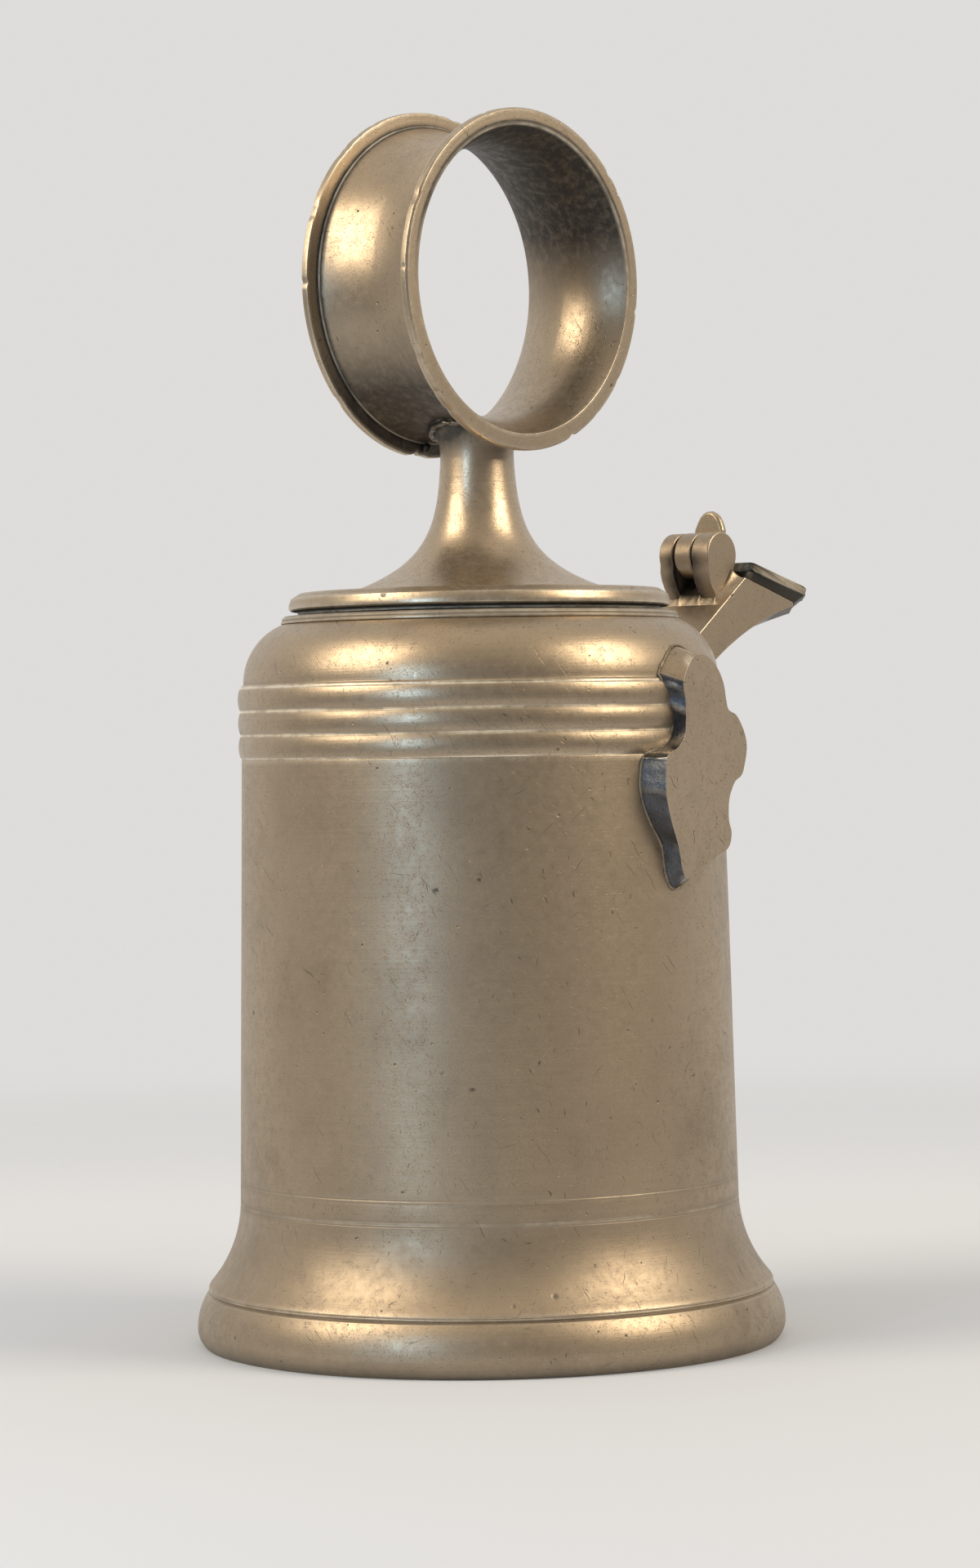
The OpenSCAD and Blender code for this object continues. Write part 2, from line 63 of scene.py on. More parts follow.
def maths(tree, operation, a, b=0.0, clamp=False):
    return add(tree, "ShaderNodeMath", {"operation": operation, "use_clamp": clamp}, {0: a, 1: b})


def vectors(tree, operation, ins, out=0):
    return add(tree, "ShaderNodeVectorMath", {"operation": operation}, ins, out)


def ramp(tree, value, low, high, to_low=0.0, to_high=1.0):
    """A smooth step of value from low to high."""
    return add(tree, "ShaderNodeMapRange", {"interpolation_type": "SMOOTHSTEP"},
               {0: value, 1: low, 2: high, 3: to_low, 4: to_high})


def mixed(tree, share, a, b, blend="MIX"):
    return add(tree, "ShaderNodeMix", {"data_type": "RGBA", "blend_type": blend},
               {0: share, 6: a, 7: b}, 2)


def placed(name, data):
    """Puts an object with this mesh, lamp or camera into the scene."""
    thing = bpy.data.objects.new(name, data)
    scene.collection.objects.link(thing)
    return thing


# The camera, and gloss that looks away from it, meet the pale backdrop. Other gloss meets the dim
# room with its warmer ceiling, and the fill light comes from a grey wall all round.
backdrop_pale, fill_grey = (0.73, 0.72, 0.705, 1), (0.58, 0.57, 0.56, 1)
wall_dim, ceiling_warm = (0.195, 0.185, 0.175, 1), (0.47, 0.42, 0.35, 1)
overhead_warm = (0.80, 0.72, 0.61, 1)
world = bpy.data.worlds.new("studio")
scene.world = world
world.use_nodes = True
tree = world.node_tree
tree.nodes.clear()
ray = tree.nodes.new("ShaderNodeLightPath")
facing = vectors(tree, "DOT_PRODUCT", {0: add(tree, "ShaderNodeTexCoord"), 1: towards_camera}, 1)
sweep_mask = ramp(tree, facing, -0.75, 0.45, 1.0, 0.0)
seen = maths(tree, "ADD",
             maths(tree, "ADD", ray.outputs["Is Camera Ray"], ray.outputs["Is Transmission Ray"]),
             maths(tree, "MULTIPLY", ray.outputs["Is Glossy Ray"], sweep_mask), True)
rise = add(tree, "ShaderNodeSeparateXYZ", None, {0: add(tree, "ShaderNodeTexCoord")}, 2)
room = mixed(tree, ramp(tree, rise, 0.3, 0.85), wall_dim, ceiling_warm)
room = mixed(tree, ramp(tree, rise, 0.78, 1.0), room, overhead_warm)
room = mixed(tree, ray.outputs["Is Diffuse Ray"], room, fill_grey)
sky = add(tree, "ShaderNodeBackground", ins={0: mixed(tree, seen, room, backdrop_pale), 1: 1.0})
tree.links.new(sky, tree.nodes.new("ShaderNodeOutputWorld").inputs[0])

# The floor is a little paler behind the object and fades into the backdrop.
floor_half, floor_near, floor_behind = 3, (0.60, 0.63, 0.68, 1), (0.77, 0.80, 0.85, 1)
floor_mesh = bpy.data.meshes.new("floor")
floor_corners = [(-1, -1), (1, -1), (1, 1), (-1, 1)]
floor_mesh.from_pydata([(x * floor_half, y * floor_half, 0) for x, y in floor_corners], [], [(0, 1, 2, 3)])
floor = placed("floor", floor_mesh)
floor_paint = bpy.data.materials.new("floor")
floor_paint.use_nodes = True
tree = floor_paint.node_tree
paint = tree.nodes["Principled BSDF"]
paint.inputs["Roughness"].default_value = 0.8
spread = vectors(tree, "LENGTH", {0: add(tree, "ShaderNodeTexCoord", out=3)}, 1)
behind = vectors(tree, "DOT_PRODUCT", {0: add(tree, "ShaderNodeTexCoord", out=3), 1: -towards_camera}, 1)
tree.links.new(mixed(tree, ramp(tree, behind, -0.05, 0.40), floor_near, floor_behind),
               paint.inputs["Base Color"])
tree.links.new(ramp(tree, spread, 0.22, 0.95, 1.0, 0.0), paint.inputs["Alpha"])
floor_mesh.materials.append(floor_paint)


def softbox(name, turn, height, away, size, watts, colour):
    """A rectangular lamp at an angle round the object from the camera, aimed at the drum."""
    lamp = bpy.data.lights.new(name, "AREA")
    lamp.shape = "RECTANGLE"
    lamp.size, lamp.size_y = size
    lamp.energy = watts
    lamp.color = colour
    box = placed(name, lamp)
    side = Matrix.Rotation(radians(turn), 3, "Z") @ towards_camera
    box.location = side * away + Vector((0, 0, height))
    box.rotation_euler = (Vector((0, 0, 0.15)) - box.location).to_track_quat("-Z", "Y").to_euler()


warm, cool = (1.0, 0.86, 0.66), (0.50, 0.78, 1.1)
softbox("left_box", -66, 0.75, 0.85, (0.56, 0.60), 6.9, warm)
softbox("right_box", 68, 0.70, 0.85, (0.48, 0.55), 6.1, warm)
softbox("cool_lamp", -35, 0.30, 0.95, (0.10, 0.34), 1.5, cool)

# The camera stands level with the drum's middle. Its turn, tilt and roll were fitted to the photo.
camera_lens, camera_turn, camera_tilt, camera_roll = 98.72, -0.1, -0.726, 0.0172
camera = placed("camera", bpy.data.cameras.new("camera"))
camera.data.sensor_fit = "VERTICAL"
camera.data.sensor_height = 36
camera.data.sensor_width = 36
camera.data.lens = camera_lens
camera.location = camera_place
look = Matrix.Rotation(radians(camera_tilt), 3, "X")
forward = Matrix.Rotation(radians(camera_turn), 3, "Z") @ -towards_camera
upright = forward.to_track_quat("-Z", "Y").to_matrix()
camera.rotation_euler = (upright @ look @ Matrix.Rotation(-camera_roll, 3, "Z")).to_euler()
scene.camera = camera

# Old pewter: cast, turned on a lathe, soldered and handled for centuries. The groups below give
# its lathe lines, hair scratches, pits and cloudy tarnish to every piece.


def group(name, inputs, outputs):
    """A shader node group with these named sockets. Returns the tree and its input and output nodes."""
    g = bpy.data.node_groups.new(name, "ShaderNodeTree")
    kinds = {"v": "NodeSocketVector", "c": "NodeSocketColor", "f": "NodeSocketFloat"}
    for n, k in inputs:
        g.interface.new_socket(n, in_out="INPUT", socket_type=kinds[k])
    for n, k in outputs:
        g.interface.new_socket(n, in_out="OUTPUT", socket_type=kinds[k])
    return g, g.nodes.new("NodeGroupInput").outputs, g.nodes.new("NodeGroupOutput").inputs


def noise(tree, vector, scale, detail=2.0, rough=0.5, out=0):
    return add(tree, "ShaderNodeTexNoise", None,
               {"Vector": vector, "Scale": scale, "Detail": detail, "Roughness": rough}, out)


# Lathe lines run round the axis: they follow the height and the distance from the axis.
lathe, i, o = group("Lathe lines", [("Vector", "v"), ("Lines per metre", "f")], [("Height", "f")])
parts = lathe.nodes.new("ShaderNodeSeparateXYZ")
lathe.links.new(i["Vector"], parts.inputs[0])
away = maths(lathe, "SQRT", maths(lathe, "ADD", maths(lathe, "POWER", parts.outputs[0], 2.0),
                                  maths(lathe, "POWER", parts.outputs[1], 2.0)))
slow = vectors(lathe, "SCALE", {0: i["Vector"], "Scale": 9.0})
along = add(lathe, "ShaderNodeCombineXYZ", None,
            {0: maths(lathe, "MULTIPLY", away, i["Lines per metre"]),
             1: maths(lathe, "MULTIPLY", parts.outputs[2], i["Lines per metre"]),
             2: 0.0})
lines = noise(lathe, vectors(lathe, "ADD", {0: along, 1: slow}), 1.0, 3.0, 0.6)
lathe.links.new(lines, o["Height"])

# Hair scratches: flat, slightly curled flakes in a stretched Voronoi texture, which the surface
# cuts in short lines.
hair, i, o = group("Hair scratches", [("Vector", "v"), ("Turn", "v"), ("Fineness", "f"),
                                      ("Stretch", "f"), ("Width", "f"), ("Share", "f")],
                   [("Mask", "f")])
wavy = vectors(hair, "SCALE", {0: noise(hair, i["Vector"], 210.0, 1.0, out=1), "Scale": 0.0017})
turned_v = add(hair, "ShaderNodeVectorRotate", {"rotation_type": "EULER_XYZ"},
               {"Vector": vectors(hair, "ADD", {0: i["Vector"], 1: wavy}), "Rotation": i["Turn"]})
drawn_out = add(hair, "ShaderNodeCombineXYZ", None, {0: 1.0, 1: i["Stretch"], 2: i["Stretch"]})
long_v = vectors(hair, "MULTIPLY", {0: turned_v, 1: drawn_out})
flakes = hair.nodes.new("ShaderNodeTexVoronoi")
hair.links.new(long_v, flakes.inputs["Vector"])
hair.links.new(i["Fineness"], flakes.inputs["Scale"])
luck = hair.nodes.new("ShaderNodeSeparateColor")
hair.links.new(flakes.outputs["Color"], luck.inputs[0])
reach = maths(hair, "MULTIPLY", i["Width"], maths(hair, "ADD", luck.outputs[1], 0.4))
line = ramp(hair, flakes.outputs["Distance"], maths(hair, "MULTIPLY", reach, 0.3), reach, 1.0, 0.0)
kept = maths(hair, "LESS_THAN", luck.outputs[0], i["Share"])
depth = add(hair, "ShaderNodeMapRange", None, {0: luck.outputs[2], 3: 0.45, 4: 1.0})
hair.links.new(maths(hair, "MULTIPLY", line, maths(hair, "MULTIPLY", kept, depth)), o["Mask"])

# Pits and casting holes: a share of the cells of a Voronoi texture holds a small dark spot.
pits, i, o = group("Pits", [("Vector", "v"), ("Scale", "f"), ("Size", "f"), ("Share", "f")],
                   [("Mask", "f")])
cells = pits.nodes.new("ShaderNodeTexVoronoi")
pits.links.new(i["Vector"], cells.inputs["Vector"])
pits.links.new(i["Scale"], cells.inputs["Scale"])
chance = pits.nodes.new("ShaderNodeSeparateColor")
pits.links.new(cells.outputs["Color"], chance.inputs[0])
spot_r = maths(pits, "MULTIPLY", i["Size"], maths(pits, "ADD", chance.outputs[1], 0.3))
spot = ramp(pits, cells.outputs["Distance"], maths(pits, "MULTIPLY", spot_r, 0.4), spot_r, 1.0, 0.0)
held = maths(pits, "LESS_THAN", chance.outputs[0], i["Share"])
pits.links.new(maths(pits, "MULTIPLY", spot, held), o["Mask"])


def use(tree, g, ins, out=0):
    """Places a group in a tree with these values and links."""
    return add(tree, "ShaderNodeGroup", {"node_tree": g}, ins, out)


# The skin of the metal puts them together with the wear and dirt that the mesh carries. Those
# marks also carry painted highlights and painted shade.
skin, i, o = group(
    "Old pewter",
    [("Vector", "v"), ("Turning", "v"), ("Clean", "c"), ("Tarnished", "c"), ("Dark colour", "c"),
     ("Wear and highlight", "f"), ("Dirt and shade", "f"), ("Tarnish", "f"), ("Scratches", "f"), ("Roughness", "f")],
    [("Color", "c"), ("Roughness", "f"), ("Metal", "f"), ("Height", "f")])


def plus(a, b):
    return maths(skin, "ADD", a, b)


def times(a, b, clamp=False):
    return maths(skin, "MULTIPLY", a, b, clamp)


def most(a, b):
    return maths(skin, "MAXIMUM", a, b)


cloud = noise(skin, i["Vector"], 26.0, 4.0, 0.62)
blotch = noise(skin, i["Vector"], 75.0, 3.0, 0.6)
grain = noise(skin, i["Vector"], 2300.0, 2.0, 0.65)
fine = noise(skin, i["Vector"], 420.0, 3.0, 0.7)
rings = use(skin, lathe, {"Vector": i["Turning"], "Lines per metre": 2600.0})
broad = use(skin, lathe, {"Vector": i["Turning"], "Lines per metre": 420.0})
hairs = []
for turn, fineness, stretch, width, share in (
        ((0.3, 0.5, 0.9), 1250.0, 0.03, 0.12, 0.9), ((1.2, 0.2, 2.4), 1000.0, 0.03, 0.10, 0.9),
        ((2.1, 1.3, 0.4), 1900.0, 0.07, 0.12, 1.0), ((0.9, 2.2, 1.7), 2100.0, 0.08, 0.12, 1.0),
        ((1.7, 0.7, 0.2), 1700.0, 0.06, 0.10, 1.0), ((0.1, 1.5, 2.9), 2300.0, 0.09, 0.13, 1.0)):
    hairs.append(use(skin, hair, {"Vector": i["Vector"], "Turn": turn, "Fineness": fineness,
                                  "Stretch": stretch, "Width": width, "Share": share}))
glint = use(skin, hair, {"Vector": i["Vector"], "Turn": (0.5, 1.9, 1.1), "Fineness": 260.0,
                         "Stretch": 0.3, "Width": 0.08, "Share": 0.035})
pit_big = use(skin, pits, {"Vector": i["Vector"], "Scale": 120.0, "Size": 0.12, "Share": 0.16})
pit_small = use(skin, pits, {"Vector": i["Vector"], "Scale": 480.0, "Size": 0.18, "Share": 0.08})

# A few long curled hairs lie between the short ones.
curl = maths(skin, "ABSOLUTE", maths(skin, "SUBTRACT", noise(skin, i["Vector"], 190.0, 1.0), 0.5))
scratch = times(ramp(skin, curl, 0.001, 0.005, 0.45, 0.0), ramp(skin, blotch, 0.56, 0.66))
for one in hairs:
    scratch = most(scratch, one)
scratch = times(scratch, i["Scratches"])

# Tarnish lies in clouds, dirt in pits, specks and hollows, and bright wear on the ridges. The
# painted shade in the dirt mark darkens like dirt, and the painted highlights in the wear mark
# brighten like wear.
pitted = most(pit_big, pit_small)
tarnish = times(plus(ramp(skin, cloud, 0.38, 0.85, 0.0, 0.8), times(ramp(skin, blotch, 0.5, 0.8), 0.35)),
                i["Tarnish"], True)
speckle = times(ramp(skin, grain, 0.48, 0.66), ramp(skin, fine, 0.36, 0.60))
dirt_and_shade_share = most(times(i["Dirt and shade"], ramp(skin, fine, 0.25, 0.6, 0.8, 1.0)),
             most(times(pitted, 0.75), times(speckle, 0.42)))
rubbed = times(ramp(skin, blotch, 0.35, 0.62, 0.35, 1.0), ramp(skin, fine, 0.3, 0.6, 0.5, 1.0))
wear_and_highlight_share = most(times(i["Wear and highlight"], rubbed), glint)
# Bare worn metal. The same colour paints the highlights that ride in the wear mark.
bare_metal_and_highlight = (0.84, 0.75, 0.60, 1)
tone = mixed(skin, tarnish, i["Clean"], i["Tarnished"])
tone = mixed(skin, times(rings, 0.35), tone, i["Tarnished"])
tone = mixed(skin, dirt_and_shade_share, tone, i["Dark colour"])
tone = mixed(skin, times(scratch, 0.9, True), tone, i["Dark colour"])
tone = mixed(skin, wear_and_highlight_share, tone, bare_metal_and_highlight)
skin.links.new(tone, o["Color"])
rough = plus(i["Roughness"], times(tarnish, 0.10))
rough = plus(rough, times(maths(skin, "SUBTRACT", fine, 0.5), 0.22))
rough = plus(rough, times(dirt_and_shade_share, 0.22))
skin.links.new(maths(skin, "SUBTRACT", rough, times(wear_and_highlight_share, 0.10), True), o["Roughness"])
skin.links.new(maths(skin, "SUBTRACT", 0.88, times(dirt_and_shade_share, 0.50)), o["Metal"])
height = plus(times(rings, 0.10), times(broad, 0.20))
height = plus(height, times(fine, 0.18))
height = plus(height, times(grain, 0.09))
height = maths(skin, "SUBTRACT", height, times(pitted, 0.8))
height = maths(skin, "SUBTRACT", height, times(scratch, 0.16))
skin.links.new(height, o["Height"])


def pewter(name, clean, tarnished, rough=0.36, tarnish=0.8, scratches=1.0,
           dirt_and_shade=(0.055, 0.05, 0.04), axis_at=None, relief=0.00016):
    """A material of the old pewter skin. axis_at is the height of a level turning axis along Y."""
    m = bpy.data.materials.new(name)
    m.use_nodes = True
    t = m.node_tree
    bsdf = t.nodes["Principled BSDF"]
    place = add(t, "ShaderNodeTexCoord", out=3)
    if axis_at is None:
        turning = place
    else:
        turning = add(t, "ShaderNodeVectorRotate", {"rotation_type": "X_AXIS"},
                      {"Vector": place, "Center": (0, 0, axis_at), "Angle": pi / 2})
    wear_and_highlight = add(t, "ShaderNodeAttribute", {"attribute_name": "wear_and_highlight"}, out=2)
    dirt_and_shade_mark = add(t, "ShaderNodeAttribute", {"attribute_name": "dirt_and_shade"}, out=2)
    color = use(t, skin, {"Clean": (*clean, 1), "Tarnished": (*tarnished, 1), "Dark colour": (*dirt_and_shade, 1),
                          "Tarnish": tarnish, "Scratches": scratches, "Roughness": rough,
                          "Vector": place, "Turning": turning, "Wear and highlight": wear_and_highlight, "Dirt and shade": dirt_and_shade_mark})
    given = color.node.outputs
    bump = add(t, "ShaderNodeBump", None,
               {"Distance": relief, "Strength": 1.0, "Height": given["Height"]})
    for made, taken in ((color, "Base Color"), (given["Roughness"], "Roughness"),
                        (given["Metal"], "Metallic"), (bump, "Normal")):
        t.links.new(made, bsdf.inputs[taken])
    return m


body_pewter = pewter("body_pewter", (0.47, 0.372, 0.262), (0.24, 0.190, 0.140), rough=0.40)
shoulder_pewter = pewter("shoulder_pewter", (0.49, 0.388, 0.273), (0.25, 0.20, 0.148), rough=0.34,
                         tarnish=0.6)

# Foot: a ring of cast pewter, turned outside, that the flagon stands on. Its ovolo edge is
# knocked, and its lower rim is darkened, partly as grime and partly as painted shade.
drum_r, foot_out, foot_h = 63.5, 14.1, 14.8
foot_r = drum_r + foot_out
ovolo_r, ovolo_low_r, ovolo_z = 16.3, 6.0, 4.5
foot_top_r = foot_r - 3.1
fillet_h, line_deep, line_h = 1.3, 0.5, 0.45
foot_bore_r = foot_r - ovolo_low_r * (1 - cos(asin(ovolo_z / ovolo_low_r))) - 4.0
inner_foot_r = foot_bore_r - 2.5
ledge_z = 8.5


def arc(x, z, r, a, b, n=24):
    """Points of an arc about (x, z), from a to b in degrees."""
    return [(x + r * cos(radians(a + (b - a) * k / n)), z + r * sin(radians(a + (b - a) * k / n)))
            for k in range(n + 1)]


def worn_section(points, radius=0.3, step=1.0, closed=True):
    """The section with its corners rounded by wear and its long sides cut into short steps."""
    p = [np.array(q, float) for q in points]
    n = len(p)
    rounded = []
    for k in range(n):
        a, b, c = p[k - 1], p[k], p[(k + 1) % n]
        if not closed and k in (0, n - 1):
            rounded.append(b)
            continue
        u, v = a - b, c - b
        lu, lv = np.linalg.norm(u), np.linalg.norm(v)
        turn = pi - acos(max(-1, min(1, float(u @ v) / (lu * lv))))
        if turn < 0.35:
            rounded.append(b)
            continue
        d = min(radius * tan(turn / 2), 0.45 * lu, 0.45 * lv)
        s, e = b + u / lu * d, b + v / lv * d
        for t in (0, 0.25, 0.5, 0.75, 1):
            rounded.append(s * (1 - t) ** 2 + b * 2 * t * (1 - t) + e * t * t)
    out = []
    m = len(rounded)
    for k in range(m if closed else m - 1):
        a, b = rounded[k], rounded[(k + 1) % m]
        pieces = max(1, int(np.ceil(np.linalg.norm(b - a) / step)))
        out += [a + (b - a) * j / pieces for j in range(pieces)]
    if not closed:
        out.append(rounded[-1])
    return np.array(out)


def section_marks(s, closed=True):
    """Wear on the section's ridges and dirt in its hollows, from its curvature."""
    n = len(s)
    before, after = np.roll(s, 1, 0), np.roll(s, -1, 0)
    u, v = s - before, after - s
    lu, lv = np.linalg.norm(u, axis=1) + 1e-9, np.linalg.norm(v, axis=1) + 1e-9
    cross = (u[:, 0] * v[:, 1] - u[:, 1] * v[:, 0]) / (lu * lv)
    bend = np.arcsin(np.clip(cross, -1, 1)) / ((lu + lv) / 2)
    if not closed:
        bend[0] = bend[-1] = 0
    place = np.concatenate([[0], np.cumsum(lv)[:-1]])
    gap = np.abs(place[:, None] - place[None, :])
    if closed:
        gap = np.minimum(gap, lv.sum() - gap)
    turn = bend * (lu + lv) / 2
    ridge = (np.exp(-(gap / 0.35) ** 2) * np.clip(turn, 0, 2)[None, :]).sum(1)
    hollow = (np.exp(-(gap / 0.8) ** 2) * np.clip(-turn, 0, 2)[None, :]).sum(1)
    return np.clip(ridge * 1.2 - 0.25, 0, 1), np.clip(hollow * 0.9 - 0.1, 0, 1)


def write_marks(mesh, wear_and_highlight, dirt_and_shade):
    """Gives each place of the mesh its wear and dirt, with painted highlights and painted shade, which the
    skin reads.
    """
    for label, values in (("wear_and_highlight", wear_and_highlight), ("dirt_and_shade", dirt_and_shade)):
        if values is not None:
            a = mesh.attributes.get(label) or mesh.attributes.new(label, "FLOAT", "POINT")
            a.data.foreach_set("value", np.asarray(values, np.float32))


def finish_mesh(name, verts, faces, material, wear_and_highlight=None, dirt_and_shade=None):
    """A smooth mesh object in metres from millimetres, with its wear and dirt marks, which can carry
    painted highlights and painted shade.
    """
    mesh = bpy.data.meshes.new(name)
    mesh.from_pydata([tuple(v) for v in np.asarray(verts, float) * MM], [], faces)
    write_marks(mesh, wear_and_highlight, dirt_and_shade)
    b = bmesh.new()
    b.from_mesh(mesh)
    bmesh.ops.remove_doubles(b, verts=b.verts, dist=1e-7)
    bmesh.ops.recalc_face_normals(b, faces=b.faces)
    b.to_mesh(mesh)
    b.free()
    mesh.polygons.foreach_set("use_smooth", [True] * len(mesh.polygons))
    mesh.materials.append(material)
    return placed(name, mesh)


def turned(name, section, material, steps=288, closed=True, axis_z=None, axis_x=0.0, shift=None,
           wear_by=1.0, dirt_by=1.0):
    """A section (radius, height) in mm turned about Z, or about a level axis along Y at axis_z."""
    s = np.asarray(section)
    wear_and_highlight, dirt_and_shade = section_marks(s, closed)
    wear_and_highlight, dirt_and_shade = wear_and_highlight * wear_by, dirt_and_shade * dirt_by
    n = len(s)
    angle = np.arange(steps) * 2 * pi / steps
    r = np.repeat(s[:, 0][None, :], steps, 0)
    h = np.repeat(s[:, 1][None, :], steps, 0)
    a = np.repeat(angle[:, None], n, 1)
    if shift is not None:
        r, h = shift(r, h, a)
    if axis_z is None:
        v = np.stack([r * np.cos(a), r * np.sin(a), h], -1)
    else:
        v = np.stack([axis_x + r * np.sin(a), h, axis_z + r * np.cos(a)], -1)
    faces = []
    for j in range(steps):
        m = (j + 1) % steps
        for k in range(n if closed else n - 1):
            l = (k + 1) % n
            faces.append((j * n + k, m * n + k, m * n + l, j * n + l))
    return finish_mesh(name, v.reshape(-1, 3), faces, material, np.tile(wear_and_highlight, steps), np.tile(dirt_and_shade, steps))


def add_dirt_and_shade(obj, rule):
    """Adds dirt and painted shade to the mesh as the rule says for each place in mm."""
    for v, mark in zip(obj.data.vertices, obj.data.attributes["dirt_and_shade"].data):
        mark.value = max(mark.value, float(np.clip(rule(*(v.co / MM)), 0, 1)))


def out_of_round(r, h, a):
    """The castings are a little out of round and dented, always inwards."""
    dent = (0.10 * (1 + np.sin(2 * a + 0.6 + h * 0.004)) + 0.05 * (1 + np.sin(5 * a + h * 0.03))
            + 0.04 * (1 + np.sin(9 * a - h * 0.05)))
    return r - dent * np.clip((r - 40) / 20, 0, 1), h


ovolo_top_a = np.degrees(asin((foot_h - fillet_h - ovolo_z) / ovolo_r))
ovolo_low_a = np.degrees(asin(ovolo_z / ovolo_low_r))
foot_section = worn_section(
    [(foot_bore_r, 0.0)] + arc(foot_r - ovolo_low_r, ovolo_z, ovolo_low_r, -ovolo_low_a, 0, 12)
    + arc(foot_r - ovolo_r, ovolo_z, ovolo_r, 0, ovolo_top_a, 14)[1:]
    + [(foot_top_r - line_deep, foot_h - fillet_h + line_h), (foot_top_r, foot_h - line_h),
       (foot_top_r, foot_h), (inner_foot_r, foot_h), (inner_foot_r, ledge_z), (foot_bore_r, ledge_z)],
    0.25)
foot = turned("foot", foot_section, body_pewter, shift=out_of_round, wear_by=0.4, dirt_by=0.22)
# Grime and painted shade, darker towards the lower rim.
add_dirt_and_shade(foot, lambda x, y, z: 0.55 * (5.5 - z) / 5.0)
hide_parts("foot_ring")
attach(foot, "flagon")

# Bottom: a plain turned disc of pewter, soldered into the foot from below, against a ledge. It
# stays clear of the table, so it is dull and tarnished rather than worn.
bottom_pewter = pewter("bottom_pewter", (0.40, 0.32, 0.23), (0.20, 0.16, 0.12), rough=0.45, tarnish=1.0)
seat_gap, bottom_t = 0.05, 2.5
bottom_r = foot_bore_r - seat_gap
bottom_low_z = ledge_z - bottom_t
bottom_section = worn_section([(0.0, bottom_low_z), (bottom_r, bottom_low_z), (bottom_r, ledge_z),
                               (0.0, ledge_z)], 0.2, 2.5, False)
bottom = turned("bottom", bottom_section, bottom_pewter, 192, False)
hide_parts("bottom_disc")
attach(bottom, "flagon")

# Drum: the lower pewter casting. A cove sweeps up from the foot into a nearly straight wall, with
# five fine lines cut by the turner where the two meet.
seam_z, wall_t, drum_taper, cove_z = 153.7, 2.8, 2.3, 38.0
drum_low_r = drum_r + drum_taper
cove_start_r, cove_start_z = foot_top_r - line_deep, foot_h + fillet_h
cove_in, cove_up = cove_start_r - drum_low_r, cove_z - cove_start_z
cove_r = (cove_up ** 2 + cove_in ** 2) / (2 * cove_in)
cove_x = drum_low_r + cove_r
inner_cove_r = cove_r + wall_t


def cut_lines(side, cuts, width=0.28):
    """The rising side of a section with fine V cuts (height, depth)."""
    r, z = zip(*side)
    cut = dict(zip(z, r))
    for place, deep in cuts:
        for dz, inward in ((-width, 0), (0, deep), (width, 0)):
            cut[place + dz] = float(np.interp(place + dz, z, r)) - inward
    return [(cut[z], z) for z in sorted(cut)]


cove_low_a = 180 + np.degrees(asin(cove_up / cove_r))
inner_low_a = 180 + np.degrees(acos((cove_x - inner_foot_r) / inner_cove_r))
drum_section = worn_section(
    [(inner_foot_r, foot_h), (foot_top_r, foot_h), (foot_top_r, foot_h + line_h)]
    + cut_lines(arc(cove_x, cove_z, cove_r, cove_low_a, 180, 26) + [(drum_r, seam_z)],
                [(36.4, 0.09), (37.05, 0.04), (37.7, 0.06), (42.1, 0.06), (43.0, 0.12)])
    + [(drum_r - wall_t, seam_z)]
    + arc(cove_x, cove_z, inner_cove_r, 180, inner_low_a, 14), 0.25, 1.4)
drum = turned("drum", drum_section, body_pewter, shift=out_of_round, wear_by=0.3, dirt_by=0.4)
# A band of painted shade in the cove dims its highlight.
add_dirt_and_shade(drum, lambda x, y, z: 0.22 * exp(-((z - 25) / 9) ** 2))
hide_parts("drum_wall")
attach(drum, "flagon")

# Shoulder: the upper pewter casting, with three raised bands and a rounded shoulder that closes in
# to the neck. Behind the spout it is cut through for the wine.
band_h, band_rise, band_n = 6.23, 0.75, 3
shoulder_r, shoulder_arc = 16.75, 68.6
bands_z = seam_z + band_n * band_h
shoulder_x, shoulder_z = drum_r - 0.8 - shoulder_r, bands_z + 1.0
shoulder_top_r = shoulder_x + shoulder_r * cos(radians(shoulder_arc))
shoulder_top_z = shoulder_z + shoulder_r * sin(radians(shoulder_arc))
mouth_r, flange_w = 43.4, 5.1
neck_r = mouth_r + flange_w
inner_shoulder_r = shoulder_r - wall_t
band_steps = 14
bands = []
for k in range(band_n):
    for j in range(band_steps + 1):
        t = j / band_steps
        bands.append((drum_r + band_rise * sin(pi * t) ** 0.62, seam_z + band_h * (k + t)))
    bands[-1] = (drum_r - 0.1, bands[-1][1])
outer_shoulder = (bands + [(drum_r - 0.15, bands_z + 0.35), (drum_r - 0.75, bands_z + 0.8)]
                  + arc(shoulder_x, shoulder_z, shoulder_r, 0, shoulder_arc, 26))
neck_a = np.degrees(acos((neck_r - shoulder_x) / inner_shoulder_r))
shoulder_section = worn_section(
    [(drum_r - wall_t, seam_z)] + outer_shoulder + [(neck_r, shoulder_top_z)]
    + arc(shoulder_x, shoulder_z, inner_shoulder_r, neck_a, 0, 18), 0.12, 1.0)


def highlighted(obj, rule):
    """Paints highlights into the mesh's wear mark as the rule says for each place in mm."""
    for v, mark in zip(obj.data.vertices, obj.data.attributes["wear_and_highlight"].data):
        mark.value = max(mark.value, float(rule(*(v.co / MM))))


shoulder = turned("shoulder_shell", shoulder_section, shoulder_pewter, 320, shift=out_of_round,
                  dirt_by=0.35)
# Painted highlights: bright lines along the grooves between the bands.
highlighted(shoulder, lambda x, y, z: (z < bands_z + 0.3 and x * x + y * y > (drum_r - 1) ** 2)
           * (1.8 - abs((z - seam_z + 0.5) % band_h - 0.5) / 0.2))
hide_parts("shoulder")
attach(shoulder, "flagon")

